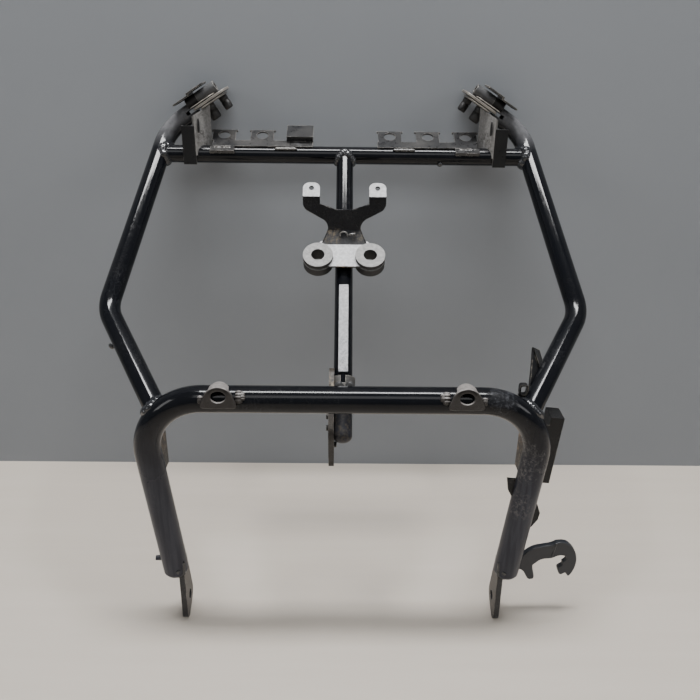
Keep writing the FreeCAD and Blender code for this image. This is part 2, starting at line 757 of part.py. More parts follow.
# Saddle with two lobes on the crown of the centre tube.
saddle_place = along(on_centre_tube(mm("saddle_from_end")), Vector(0, 0, 0) - down_tube)
saddle_rod = cylinder("saddle_rod", centre_radius + size("saddle_sheet"), size("saddle_length"), saddle_place)
saddle_keep = box(
    "saddle_keep",
    size("centre_tube_diameter") + 2 * mm("saddle_sheet"),
    size("saddle_length"),
    size("centre_tube_diameter"),
    frame_of(
        on_centre_tube(mm("saddle_from_end"), 2, -mm("centre_tube_diameter") / 2 - mm("saddle_sheet")),
        Vector(1, 0, 0),
        crown,
    ),
)
saddle_notch = box(
    "saddle_notch",
    size("saddle_notch_width"),
    size("saddle_length") / 2,
    size("centre_tube_diameter"),
    frame_of(
        on_centre_tube(mm("saddle_from_end") + mm("saddle_length") / 2, 0, -mm("saddle_notch_width") / 2),
        Vector(1, 0, 0),
        crown,
    ),
)
saddle = common("saddle_shell", saddle_rod, saddle_keep)
node(cut("head_saddle", saddle, centre_outer, saddle_notch, head), "head_saddle")

# Panel strips: a band welded along the cross tube with square tabs for clips.
strip_tilt = math.radians(mm("strip_slope"))
strip_up = Vector(0, -math.sin(strip_tilt), math.cos(strip_tilt))
strip_line = Vector(0, cross_y, cross_z) + strip_up * cross_radius.value


def strip_place(across, back, raise_by=0.0):
    """A placement on the strip's plane, measured from the line where it meets the tube."""
    run_back = Vector(0, math.cos(strip_tilt), math.sin(strip_tilt))
    spot = strip_line + Vector(across, 0, 0) + run_back * back + strip_up * raise_by
    return frame_of(spot, Vector(1, 0, 0), strip_up)


def clip_tab(name, middle):
    """A square tab with two small ears at its back corners and one hole."""
    width = size("strip_tab_width")
    band = mm("strip_band_depth")
    tab_back = band + mm("strip_tab_depth")
    ear = mm("strip_ear")
    tab = box(
        name, width, size("strip_tab_depth"), size("strip_sheet"), strip_place(middle - width.value / 2, band)
    )
    ears_bar = box(
        name + "_ears",
        width + size("strip_ear") * 2,
        size("strip_ear"),
        size("strip_sheet"),
        strip_place(middle - width.value / 2 - ear, tab_back - ear),
    )
    hole = cylinder(
        name + "_hole",
        size("strip_tab_hole_diameter") / 2,
        size("strip_sheet"),
        strip_place(middle, mm("strip_tab_hole_reach")),
    )
    return [tab, ears_bar], hole


web_turn = math.radians(mm("gusset_web_turn"))
gusset_outer = side_ends["right"].x + mm("gusset_outset")
gusset_inner = gusset_outer - mm("gusset_flange_width")
strip_outer = gusset_inner - mm("gusset_web_length") * math.sin(web_turn) - mm("strip_clearance")
strip_inner = strip_outer - mm("strip_length")
tab_places = [strip_outer - mm("strip_tab_inset") - number * mm("strip_tab_pitch") for number in range(3)]
for side, sign in SIDES:
    low_x = min(sign * strip_outer, sign * strip_inner)
    pieces = [
        box(
            f"{side}_strip_band",
            size("strip_length"),
            size("strip_band_depth"),
            size("strip_sheet"),
            strip_place(low_x, 0),
        )
    ]
    holes = []
    holed = tab_places if side == "right" else tab_places[:2]
    for number, tab_place in enumerate(holed, start=1):
        solids, hole = clip_tab(f"{side}_tab{number}", sign * tab_place)
        pieces += solids
        holes.append(hole)
    if side == "left":
        shelf_x = -tab_places[2] - mm("shelf_tab_width") / 2
        wall = box(
            "shelf_tab_wall",
            size("shelf_tab_width"),
            size("strip_sheet"),
            size("shelf_tab_raise"),
            strip_place(shelf_x, mm("strip_band_depth") - mm("strip_sheet")),
        )
        top = box(
            "shelf_tab_top",
            size("shelf_tab_width"),
            size("strip_tab_depth") + size("strip_sheet"),
            size("strip_sheet"),
            strip_place(shelf_x, mm("strip_band_depth") - mm("strip_sheet"), mm("shelf_tab_raise")),
        )
        pieces += [wall, top]
    blank = fuse(f"{side}_strip_blank", pieces)
    node(cut(f"{side}_panel_strip", blank, *holes), f"{side}_panel_strip")
    support = box(
        f"{side}_support_bar",
        size("support_width"),
        size("support_depth"),
        size("strip_sheet") + 2,
        strip_place(sign * tab_places[0] - mm("support_width") / 2, -mm("support_depth"), -2),
    )
    node(cut(f"{side}_strip_support", support, cross_outer), f"{side}_strip_support")

# Mirror mounts, one at the end of each side tube.
for side, sign in SIDES:
    run = Vector(-sign * math.cos(rise), 0, math.sin(rise))
    face = Vector(sign * math.sin(rise), 0, math.cos(rise))
    edge = side_ends[side] + face * mm("mirror_plate_lift") - Vector(0, mm("mirror_plate_front"), 0)

    def on_mount(reach, height, back=0.0):
        return edge + run * reach + face * height + Vector(0, back, 0)

    def mount_box(name, reach, height, back, length, depth, thickness):
        """A flat bar on the mount: length towards the middle, depth to the rear."""
        depth = as_size(depth)
        if sign < 0:
            place = frame_of(on_mount(reach, height, back), run, face)
        else:
            place = frame_of(on_mount(reach, height, back + depth.value), run, face)
        return box(f"{side}_{name}", length, depth, thickness, place)

    half_plate = mm("mirror_plate_thickness") / 2
    depth = size("mirror_plate_depth")
    tail = mm("mirror_plate_tail")
    plate_bar = mount_box(
        "mirror_bar", -tail, -half_plate, 0, size("mirror_plate_length") + tail, depth,
        size("mirror_plate_thickness"),
    )
    stud_spots = (
        ("front", size("stud_front_diameter"), mm("stud_front_reach"), mm("stud_front_back")),
        ("rear", size("stud_rear_diameter"), mm("stud_rear_reach"), mm("stud_rear_back")),
    )
    stud_top = -half_plate - mm("backing_thickness")
    shanks = []
    for spot, diameter, reach, back in stud_spots:
        bolt = cylinder(
            f"{side}_{spot}_shank",
            size("stud_bore") / 2,
            size("mirror_plate_thickness") + size("backing_thickness") + size("stud_length"),
            along(on_mount(reach, half_plate, back), Vector(0, 0, 0) - face),
        )
        shanks.append(bolt)
        barrel = cylinder(
            f"{side}_{spot}_barrel",
            diameter / 2,
            size("stud_length"),
            along(on_mount(reach, stud_top, back), Vector(0, 0, 0) - face),
        )
        node(cut(f"{side}_mirror_stud_{spot}", barrel, bolt), f"{side}_mirror_stud_{spot}")
    main_plate = cut(f"{side}_mirror_plate", plate_bar, *shanks)
    node(main_plate, f"{side}_mirror_plate")
    backing_start = mm("mirror_plate_length") - mm("backing_inset") - mm("backing_length")
    backing = mount_box(
        "backing_bar", backing_start, stud_top, 2, size("backing_length"), depth - 4, size("backing_thickness")
    )
    node(cut(f"{side}_mirror_backing", backing, *shanks), f"{side}_mirror_backing")
    sleeve_height = half_plate + mm("sleeve_diameter") / 2
    sleeve_back = mm("mirror_plate_depth") / 2
    sleeve_start = on_mount(mm("sleeve_start"), sleeve_height, sleeve_back)
    sleeve = cylinder(
        f"{side}_sleeve_rod", size("sleeve_diameter") / 2, size("sleeve_length"), along(sleeve_start, run)
    )
    sleeve_bore = cylinder(
        f"{side}_sleeve_bore", size("sleeve_bore") / 2, size("sleeve_length"), along(sleeve_start, run)
    )
    node(cut(f"{side}_mirror_sleeve", sleeve, sleeve_bore), f"{side}_mirror_sleeve")
    bush_start = on_mount(mm("sleeve_start") - mm("bush_length"), sleeve_height, sleeve_back)
    bush = cylinder(
        f"{side}_bush_rod", size("bush_diameter") / 2, size("bush_length"), along(bush_start, run)
    )
    node(cut(f"{side}_mirror_bush", bush, side_outers[side]), f"{side}_mirror_bush")
    cover_height = half_plate + mm("sleeve_diameter")
    cover_start = mm("cover_start")
    cover_back = mm("cover_inset")
    cover_depth = depth - size("cover_inset") * 2
    upper_cover = mount_box(
        "cover_upper", cover_start, cover_height + mm("cover_step"), cover_back,
        size("cover_length"), cover_depth, size("cover_thickness"),
    )
    lower_cover = mount_box(
        "cover_lower", cover_start - mm("cover_length") + mm("cover_thickness"), cover_height, cover_back,
        size("cover_length"), cover_depth, size("cover_thickness"),
    )
    cover_link = mount_box(
        "cover_link", cover_start, cover_height, cover_back,
        size("cover_thickness"), cover_depth, size("cover_step") + size("cover_thickness"),
    )
    cover = fuse(f"{side}_mirror_cover", [upper_cover, lower_cover, cover_link])
    node(cover, f"{side}_mirror_cover")

    side_tube = cut(f"{side}_side_tube", side_tubes[side], plate_bar)
    node(side_tube, f"{side}_side_tube")

    # Corner gusset: a front flange over the cross tube and a turned web up to the plate.
    flange_x = -gusset_outer if sign < 0 else gusset_inner
    flange_low = cross_z - cross_radius.value
    flange_front = cross_y - cross_radius.value - mm("gusset_sheet")
    flange = box(
        f"{side}_gusset_flange",
        size("gusset_flange_width"),
        size("gusset_sheet"),
        size("gusset_flange_rise") + cross_radius,
        Placement(Vector(flange_x, flange_front, flange_low), Rotation()),
    )
    web_run = Vector(-sign * math.sin(web_turn), math.cos(web_turn), 0)
    web_start = Vector(sign * gusset_inner, flange_front, cross_z)
    if sign > 0:
        web_start = web_start - Vector(0, 0, 1).cross(web_run) * mm("gusset_sheet")
    web_place = frame_of(web_start, web_run, Vector(0, 0, 1))
    web = box(
        f"{side}_gusset_web",
        size("gusset_web_length"),
        size("gusset_sheet"),
        size("gusset_web_rise"),
        web_place,
    )
    above = mount_box(
        "gusset_clear", -40, stud_top, -20, mm("mirror_plate_length") + 60, depth + 60, 60
    )
    gusset = fuse(f"{side}_gusset_blank", [flange, web])
    gusset = cut(
        f"{side}_corner_gusset", gusset, cross_outer, side_outers[side], above
    )
    node(gusset, f"{side}_corner_gusset")

# Tabs on the front of the hoop: an arched face with a hole and a flange over the tube.
tab_lean = math.radians(mm("hoop_tab_lean"))
tab_sheet = size("hoop_tab_sheet")
base_half = size("hoop_tab_base_width") / 2
top_half = size("hoop_tab_top_width") / 2
tab_round = size("hoop_tab_top_round")
for side, sign in SIDES:
    arch = plate(
        f"{side}_tab_arch",
        "XZ_Plane",
        tab_sheet,
        holes=[(0, size("hoop_tab_height") / 2, size("hoop_tab_hole_diameter"))],
        hull=[
            (-base_half + 2, 1, 1),
            (base_half - 2, 1, 1),
            (top_half - tab_round, size("hoop_tab_height") - tab_round, tab_round),
            (tab_round - top_half, size("hoop_tab_height") - tab_round, tab_round),
        ],
    )
    front = Vector(sign * mm("hoop_tab_place"), hoop_y - hoop_radius.value, mm("hoop_height"))
    front = front + Vector(0, mm("hoop_tab_sink"), 0)
    arch.Placement = Placement(front, Rotation(Vector(1, 0, 0), mm("hoop_tab_lean")))
    crest = front + Vector(0, -math.sin(tab_lean) * mm("hoop_tab_height"), 0)
    flange = box(
        f"{side}_tab_flange",
        top_half * 2 - 2,
        size("hoop_tab_flange"),
        tab_sheet,
        Placement(
            Vector(
                crest.x - top_half.value + 1,
                crest.y - mm("hoop_tab_sheet"),
                mm("hoop_height") + math.cos(tab_lean) * mm("hoop_tab_height") - mm("hoop_tab_sheet"),
            ),
            Rotation(Vector(1, 0, 0), -mm("hoop_tab_lean")),
        ),
    )
    tab = fuse(f"{side}_tab_blank", [arch, flange])
    node(cut(f"{side}_hoop_tab", tab, hoop_outer), f"{side}_hoop_tab")

# Small fittings on the legs.
leg_domes = {}
for side, sign in SIDES:
    blade_bottom = mm("hoop_height") - mm("leg_plate_drop")
    inner_face = leg_axis(blade_bottom + mm("leg_plate_height") / 2) - hoop_radius.value
    start = sign * inner_face if sign > 0 else -inner_face - mm("leg_plate_sheet")
    blade = box(
        f"{side}_leg_blade",
        size("leg_plate_sheet"),
        size("leg_plate_depth"),
        size("leg_plate_height"),
        Placement(Vector(start, hoop_y, blade_bottom), Rotation()),
    )
    node(cut(f"{side}_leg_plate", blade, hoop_outer), f"{side}_leg_plate")

    cap_height = size("leg_cap_height")
    dome_radius = (hoop_radius * hoop_radius + cap_height * cap_height) / (cap_height * 2)
    hidden = dome_radius.value - cap_height.value
    cap = doc.addObject("Part::Sphere", f"{side}_leg_cap_dome")
    bind(cap, Radius=dome_radius)
    cap.Angle1 = math.degrees(math.asin(hidden / dome_radius.value))
    cap.Angle2 = 90
    down_leg = Vector(sign * leg_direction.x, -leg_direction.y, -leg_direction.z)
    end = Vector(sign * mm("leg_end_half_width"), -mm("leg_end_forward"), mm("leg_end_height"))
    cap.Placement = along(end - down_leg * hidden, down_leg)
    leg_domes[side] = cap
    node(cut(f"{side}_leg_cap", cap, foot_plates[side]), f"{side}_leg_cap")

# Hose clip on the right leg: an arm that ends in a hook, with a short leg under it.
hook_crown = [(56, 25), (67, 19), (76, 2)]
clip_arm = [(4, 7), (16, 12), (32, 19), (45, 24)] + hook_crown + [
    (74, -10), (70, -20), (66, -16), (57.5, -16.5), (54, -8), (60.5, -3.5), (58.5, 1.5),
    (64, 5), (60, 8), (49, 7), (37, 3), (26, -4), (4, -14),
]
clip_arm.reverse()
clip = plate("clip_arm", "XZ_Plane", size("clip_depth"), polygon=clip_arm)
round_corners(clip, size("clip_round"), hook_crown)
clip_leg = plate(
    "clip_leg",
    "XZ_Plane",
    size("clip_depth") - 3,
    polygon=[(23, -28), (32, -28), (28, 0), (12, 0)],
)
clip_height = mm("leg_end_height") + mm("clip_rise")
for piece in (clip, clip_leg):
    piece.Placement = Placement(
        Vector(leg_axis(clip_height) + mm("clip_offset"), -mm("leg_end_forward") + 8, clip_height), Rotation()
    )
clip_blank = fuse("clip_blank", [clip, clip_leg])
node(cut("hose_clip", clip_blank, hoop_outer, leg_domes["right"]), "hose_clip")

# Brackets on the right leg.
outer_lean = Rotation(Vector(0, 1, 0), mm("outer_bracket_lean"))
outer_bottom = mm("hoop_height") - mm("outer_bracket_drop")
outer_across = leg_axis(outer_bottom) + mm("outer_bracket_offset")
outer_place = Placement(Vector(outer_across, -0.5, outer_bottom), outer_lean)
shell = box(
    "outer_shell",
    size("outer_bracket_width"),
    size("outer_bracket_depth"),
    size("outer_bracket_height"),
    outer_place,
)
wall = mm("outer_bracket_sheet")
hollow = box(
    "outer_hollow",
    size("outer_bracket_width") - 2 * wall,
    size("outer_bracket_depth") - wall,
    size("outer_bracket_height") - wall,
    outer_place.multiply(Placement(Vector(wall, wall, 0), Rotation())),
)
base = box(
    "outer_base",
    size("outer_bracket_width") + 8,
    size("outer_bracket_sheet"),
    size("outer_bracket_height") - 12,
    outer_place.multiply(Placement(Vector(-14, 0, 3), Rotation())),
)
outer = fuse("outer_blank", [cut("outer_channel", shell, hollow), base])
node(cut("right_outer_bracket", outer, hoop_outer), "right_outer_bracket")

rear = plate(
    "rear_blade",
    "XZ_Plane",
    size("leg_plate_sheet"),
    polygon=[
        (-19, -1), (-3.5, -15), (12.5, -6), (12.5, 17), (3.5, 30), (-8.5, 49), (-11.5, 49), (-15.5, 33),
    ],
)
rear_spot = low_side_axis(1, mm("rear_bracket_back"))
rear.Placement = Placement(rear_spot, Rotation())
loop_wall = size("loop_wall")
loop_place = Placement(rear_spot + Vector(-22, -mm("loop_depth"), 4), Rotation())
loop = box("loop_shell", size("loop_width"), size("loop_depth"), size("loop_width"), loop_place)
loop_hollow = box(
    "loop_hollow",
    size("loop_width") - loop_wall * 2,
    size("loop_depth") - loop_wall * 2,
    size("loop_width"),
    loop_place.multiply(Placement(Vector(loop_wall.value, loop_wall.value, 0), Rotation())),
)
rear_blank = fuse("rear_blank", [rear, cut("loop", loop, loop_hollow)])
rear_bracket = cut(
    "right_rear_bracket", rear_blank, hoop_outer, side_outers["right"], low_welds["right"]
)
node(rear_bracket, "right_rear_bracket")

inner_tab = plate(
    "inner_tab_blank",
    "XZ_Plane",
    size("leg_plate_sheet"),
    polygon=[(-11.5, -13), (1.5, -16), (1.5, 16), (-13.5, 13.5), (-21, 14.5), (-18.5, 0)],
)
inner_tab_height = mm("hoop_height") - mm("inner_tab_drop")
inner_tab.Placement = Placement(Vector(leg_axis(inner_tab_height), hoop_y + 5, inner_tab_height), Rotation())
node(cut("right_inner_tab", inner_tab, hoop_outer), "right_inner_tab")
outer_tab = plate(
    "outer_tab_blank",
    "XZ_Plane",
    size("leg_plate_sheet"),
    polygon=[(3, -17), (14.5, -13), (20.5, -3), (21.5, 5), (18, 15), (3, 17)],
)
outer_tab_height = mm("leg_end_height") + mm("outer_tab_rise")
outer_tab.Placement = Placement(Vector(leg_axis(outer_tab_height), hoop_y + 7, outer_tab_height), Rotation())
node(cut("right_outer_tab", outer_tab, hoop_outer), "right_outer_tab")

# A stud on the left leg.
stud_height = mm("leg_end_height") + mm("leg_stud_rise")
stud_across = -leg_axis(stud_height) - hoop_radius.value - mm("leg_stud_length")
stud_end = Vector(stud_across, -mm("leg_end_forward"), stud_height)
stud = cylinder(
    "leg_stud_rod",
    size("leg_stud_diameter") / 2,
    size("leg_stud_length") + 4,
    along(stud_end, Vector(1, 0, 0)),
)
node(cut("left_leg_stud", stud, hoop_outer), "left_leg_stud")

doc.recompute()
for item in doc.Objects:
    if "Invalid" in item.State or "Error" in item.State:
        raise RuntimeError(f"{item.Label} could not be built: {item.State}")
for item in nodes:
    if item.Shape.isNull() or not item.Shape.isValid() or not item.Shape.Solids:
        raise RuntimeError(f"{item.Label} has no valid shape")

os.makedirs("parts", exist_ok=True)
for item in nodes:
    item.Shape.exportStep(f"parts/{item.Label}.step")
    solids = len(item.Shape.Solids)
    print(f"{item.Label}: {solids} solid(s), {item.Shape.Volume / 1000:.2f} cm3")
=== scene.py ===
import math
from functools import partial

import bpy
import numpy as np
from mathutils import Matrix, Vector


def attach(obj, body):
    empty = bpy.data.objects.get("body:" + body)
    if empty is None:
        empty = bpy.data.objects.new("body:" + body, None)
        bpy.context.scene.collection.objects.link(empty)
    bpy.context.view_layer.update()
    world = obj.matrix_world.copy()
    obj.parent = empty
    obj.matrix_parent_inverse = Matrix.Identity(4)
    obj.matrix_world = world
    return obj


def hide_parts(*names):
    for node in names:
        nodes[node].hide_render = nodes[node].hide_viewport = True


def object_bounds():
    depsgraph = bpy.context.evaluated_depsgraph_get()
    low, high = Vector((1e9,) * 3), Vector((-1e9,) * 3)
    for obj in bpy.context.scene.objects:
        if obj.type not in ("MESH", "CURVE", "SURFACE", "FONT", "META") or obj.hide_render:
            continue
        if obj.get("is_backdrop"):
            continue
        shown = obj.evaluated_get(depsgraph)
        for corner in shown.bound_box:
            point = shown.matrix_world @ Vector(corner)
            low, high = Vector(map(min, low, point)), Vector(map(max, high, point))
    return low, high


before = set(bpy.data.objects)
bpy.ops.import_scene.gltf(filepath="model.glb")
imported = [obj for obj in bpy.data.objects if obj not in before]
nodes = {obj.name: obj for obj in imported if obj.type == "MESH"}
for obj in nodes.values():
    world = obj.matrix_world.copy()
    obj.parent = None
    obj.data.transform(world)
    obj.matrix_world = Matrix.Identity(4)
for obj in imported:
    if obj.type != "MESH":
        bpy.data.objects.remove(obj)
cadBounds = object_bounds()
mm = 0.001
print("frame loaded:", len(nodes), "nodes")


# A socket takes a colour or vector, a number or another node's output.
def fill(tree, node, entries):
    for label, entry in entries.items():
        socket = node.inputs[label]
        if isinstance(entry, tuple):
            socket.default_value = (*entry, 1.0)[:len(socket.default_value)]
        elif isinstance(entry, (int, float)):
            socket.default_value = entry
        else:
            tree.links.new(entry, socket)


def addNode(tree, kind, entries={}, **settings):
    node = tree.nodes.new(kind)
    for name, value in settings.items():
        setattr(node, name, value)
    fill(tree, node, entries)
    return node


# Shader helpers: each adds one node to a tree and gives back its output.

def mathNode(operation, tree, *entries, clamp=False):
    settings = dict(operation=operation, use_clamp=clamp)
    return addNode(tree, "ShaderNodeMath", dict(enumerate(entries)), **settings).outputs[0]


times, plus, minus = (partial(mathNode, operation) for operation in ("MULTIPLY", "ADD", "SUBTRACT"))


def mapRange(tree, value, low, high):
    ends = {0: value, 1: low, 2: high}
    return addNode(tree, "ShaderNodeMapRange", ends, interpolation_type="SMOOTHSTEP").outputs[0]


def mixFloat(tree, factor, first, second):
    entries = {0: factor, 2: first, 3: second}
    return addNode(tree, "ShaderNodeMix", entries, data_type="FLOAT").outputs[0]


# Colours over a base, in pairs of a mask and its colour.
def layered(tree, base, *layers):
    for mask, colour in layers:
        entries = {0: mask, 6: base, 7: colour}
        base = addNode(tree, "ShaderNodeMix", entries, data_type="RGBA").outputs[2]
    return base


def mixColour(tree, factor, first, second):
    return layered(tree, first, (factor, second))


def noise(tree, vector, scale, detail, roughness=0.55, distortion=0.0):
    entries = dict(
        Vector=vector, Scale=scale, Detail=detail, Roughness=roughness, Distortion=distortion)
    return addNode(tree, "ShaderNodeTexNoise", entries).outputs["Fac"]


def stretched(tree, vector, scale, turn=(0.0, 0.0, 0.0)):
    entries = dict(Vector=vector, Scale=scale, Rotation=turn)
    return addNode(tree, "ShaderNodeMapping", entries).outputs["Vector"]


def heightOf(tree, vector):
    return addNode(tree, "ShaderNodeSeparateXYZ", {0: vector}).outputs["Z"]


def surfaceNormal(tree):
    return addNode(tree, "ShaderNodeNewGeometry").outputs["Normal"]


# Cosine of the angle between the surface's normal and a direction.
def normalAlong(tree, direction):
    entries = {0: direction, 1: surfaceNormal(tree)}
    return addNode(tree, "ShaderNodeVectorMath", entries, operation="DOT_PRODUCT").outputs["Value"]


# A group that reads a Vector and its named values, and gives back a Mask.
def newGroup(name, **values):
    group = bpy.data.node_groups.new(name, "ShaderNodeTree")
    for label, value in (("Vector", (0.0, 0.0, 0.0)), *values.items()):
        kind = "NodeSocketVector" if isinstance(value, tuple) else "NodeSocketFloat"
        socket = group.interface.new_socket(name=label, in_out="INPUT", socket_type=kind)
        socket.default_value = value
    group.interface.new_socket(name="Mask", in_out="OUTPUT", socket_type="NodeSocketFloat")
    return group, group.nodes.new("NodeGroupInput").outputs, group.nodes.new("NodeGroupOutput")


def useGroup(tree, name, vector, **values):
    group = bpy.data.node_groups[name]
    return addNode(tree, "ShaderNodeGroup", dict(Vector=vector, **values), node_tree=group).outputs[0]


# Worn edges: where the rounded normal leaves the true one, broken up by noise.
tree, given, result = newGroup("edgeWear", Width=0.0009, Break=90.0, Amount=0.5)
bevel = addNode(tree, "ShaderNodeBevel", dict(Radius=given["Width"]), samples=4)
edge = mapRange(tree, normalAlong(tree, bevel.outputs["Normal"]), 0.985, 0.86)
broken = noise(tree, given["Vector"], given["Break"], 5.0)
broken = plus(tree, minus(tree, broken, 0.95), given["Amount"])
broken = mapRange(tree, broken, 0.0, 0.16)
fill(tree, result, dict(Mask=times(tree, edge, broken)))

# Dust that lies on what faces up, thicker in patches.
tree, given, result = newGroup("dustLayer", Amount=0.5, Reach=0.2)
upward = plus(tree, heightOf(tree, surfaceNormal(tree)), given["Reach"])
patches = mapRange(tree, noise(tree, given["Vector"], 26.0, 6.0, 0.62), 0.38, 0.7)
grains = mapRange(tree, noise(tree, given["Vector"], 800.0, 3.0, 0.7), 0.35, 0.68)
cover = times(tree, times(tree, patches, grains), mapRange(tree, upward, 0.0, 1.1))
fill(tree, result, dict(Mask=times(tree, cover, given["Amount"], clamp=True)))

# Fine scratches: thin bands of two stretched noises.
tree, given, result = newGroup("scratchLayer", Scale=60.0, Amount=0.5)
bands = []
for turn, stretch in (((0.3, 0.5, 0.2), (9.0, 1.0, 1.0)), ((1.1, 0.2, 0.9), (1.0, 1.0, 12.0))):
    along = stretched(tree, given["Vector"], stretch, turn)
    lines = noise(tree, along, given["Scale"], 2.0, 0.5, 0.6)
    apart = mathNode("ABSOLUTE", tree, minus(tree, lines, 0.5))
    bands.append(mapRange(tree, apart, 0.012, 0.003))
where = mapRange(tree, noise(tree, given["Vector"], 17.0, 3.0), 0.45, 0.7)
both = times(tree, mathNode("MAXIMUM", tree, *bands), where)
fill(tree, result, dict(Mask=times(tree, both, given["Amount"])))

# A rough spot: one inside a ragged ball about a centre, fading to zero at its edge.
tree, given, result = newGroup("roughSpot", Centre=(0.0, 0.0, 0.0), Radius=0.03)
entries = {0: given["Vector"], 1: given["Centre"]}
distance = addNode(tree, "ShaderNodeVectorMath", entries, operation="DISTANCE")
share = mathNode("DIVIDE", tree, distance.outputs["Value"], given["Radius"])
cloud = noise(tree, given["Vector"], 75.0, 6.0, 0.7)
ragged = times(tree, minus(tree, cloud, 0.5), 1.6)
fill(tree, result, dict(Mask=mapRange(tree, plus(tree, share, ragged), 1.0, 0.45)))

# One where a face looks along a direction, zero where it is turned away from it.
tree, given, result = newGroup("facingMask", Direction=(0.0, 0.0, 1.0), From=0.8, To=0.93)
cloud = noise(tree, given["Vector"], 70.0, 5.0, 0.65)
ragged = times(tree, minus(tree, cloud, 0.5), 0.12)
edge = plus(tree, normalAlong(tree, given["Direction"]), ragged)
fill(tree, result, dict(Mask=mapRange(tree, edge, given["From"], given["To"])))


def newMaterial(name):
    material = bpy.data.materials.new(name)
    material.use_nodes = True
    tree = material.node_tree
    point = addNode(tree, "ShaderNodeTexCoord").outputs["Object"]
    return material, tree, tree.nodes["Principled BSDF"], point


# Bump over a normal that rounds sharp edges.
def roundNormal(tree, height, strength, depth, radius=0.0006):
    rounded = addNode(tree, "ShaderNodeBevel", dict(Radius=radius), samples=4).outputs["Normal"]
    entries = dict(Strength=strength, Distance=depth, Height=height, Normal=rounded)
    return addNode(tree, "ShaderNodeBump", entries).outputs["Normal"]


def darker(colour, share):
    return tuple(channel * share for channel in colour)


# What a painted finish has where its own values don't say otherwise.
paintDefaults = dict(
    scuffs=0.5, bareEdges=0.5, dust=0.2, scratches=0.5, bump=0.00012, peel=300.0, specular=0.5,
    coat=0.0, coatRoughness=0.2, bareColour=(0.3, 0.28, 0.25), dustColour=(0.22, 0.2, 0.175),
    scuffColour=(0.075, 0.075, 0.08), scratchColour=(0.16, 0.16, 0.165),
    faces=(), spots=(), spotRoughness=0.42, spotRelief=16.0,
)


# Painted steel, layer by layer: paint, faces tinted by the way they are turned (painted highlight or
# sheen on the bracket, rib, gusset webs and tabs), the duller legs, the upper bends, worn and with a
# painted sheen, scuffs, scratches, bare edges, dust and rough spots.
def paintMaterial(name, **values):
    look = {**paintDefaults, **values}
    material, tree, shader, point = newMaterial(name)
    broad = noise(tree, point, 9.0, 5.0, 0.6)
    fine = noise(tree, point, 150.0, 6.0, 0.7)
    scuffs = mapRange(tree, noise(tree, point, 38.0, 8.0, 0.72, 0.8), 0.6, 0.74)
    scuffs = times(tree, scuffs, look["scuffs"])
    wear = useGroup(tree, "edgeWear", point, Amount=look["bareEdges"])
    dirt = useGroup(tree, "dustLayer", point, Amount=look["dust"])
    lines = times(tree, useGroup(tree, "scratchLayer", point, Amount=look["scratches"]), 0.5)
    base = mixColour(tree, broad, look["colour"], darker(look["colour"], 1.5))
    roughness = mixFloat(tree, mapRange(tree, fine, 0.3, 0.75), *look["roughness"])
    # A face turned along a direction gets its tint; on the bracket, rib, gusset webs and tabs that
    # tint is painted highlight or sheen.
    for direction, low, high, tint, rough in look["faces"]:
        bright = useGroup(tree, "facingMask", point, Direction=direction, From=low, To=high)
        speckle = mapRange(tree, noise(tree, point, 330.0, 6.0, 0.75), 0.3, 0.72)
        base = mixColour(tree, bright, base, mixColour(tree, speckle, darker(tint, 0.6), tint))
        roughness = mixFloat(tree, bright, roughness, rough)
    # The legs: a duller satin finish below, whose blue-grey tone partly stands for a painted bluish
    # reflection of the room.
    if "lower" in look:
        lower = look["lower"]
        wander = times(tree, minus(tree, broad, 0.5), 0.1)
        level = mapRange(tree, plus(tree, heightOf(tree, point), wander), *lower["heights"])
        streaks = noise(tree, stretched(tree, point, (1.0, 1.0, 0.07)), 210.0, 4.0, 0.6)
        dull = mixColour(tree, mapRange(tree, streaks, 0.35, 0.7), lower["colour"], lower["streak"])
        base = mixColour(tree, level, dull, base)
        roughness = mixFloat(tree, level, lower["roughness"], roughness)
    # The upper bends turn grey where they face up and forward: worn, dusty paint and a painted sheen
    # of the light above.
    if "upper" in look:
        upper = look["upper"]
        raised = mapRange(tree, heightOf(tree, point), *upper["heights"])
        upward = useGroup(tree, "facingMask", point, Direction=upper["direction"],
                          From=upper["turned"][0], To=upper["turned"][1])
        wornSheen = mixFloat(tree, mapRange(tree, fine, 0.3, 0.7), 0.65, 1.0)
        wornSheen = times(tree, times(tree, raised, upward), wornSheen)
        base = mixColour(tree, wornSheen, base, upper["colour"])
        roughness = mixFloat(tree, wornSheen, roughness, upper["roughness"])
    base = layered(tree, base, (scuffs, look["scuffColour"]), (lines, look["scratchColour"]),
                   (wear, look["bareColour"]), (dirt, look["dustColour"]))
    roughness = plus(tree, roughness, times(tree, scuffs, 0.4))
    roughness = plus(tree, roughness, times(tree, dirt, 0.5), clamp=True)
    peel = noise(tree, point, look["peel"], 2.0)
    height = minus(tree, plus(tree, peel, times(tree, fine, 0.5)), lines)
    for centre, radius, tint in look["spots"]:
        spot = useGroup(tree, "roughSpot", point, Centre=centre, Radius=radius)
        pits = noise(tree, point, 260.0, 7.0, 0.8)
        light = times(tree, spot, mapRange(tree, pits, 0.47, 0.62))
        base = mixColour(tree, light, base, tint)
        roughness = mixFloat(tree, spot, roughness, look["spotRoughness"])
        height = plus(tree, height, times(tree, times(tree, spot, pits), look["spotRelief"]))
    fill(tree, shader, {
        "Base Color": base, "Roughness": roughness, "Coat Weight": look["coat"],
        "Coat Roughness": look["coatRoughness"], "Specular IOR Level": look["specular"],
        "Normal": roundNormal(tree, height, 0.3, look["bump"])})
    return material


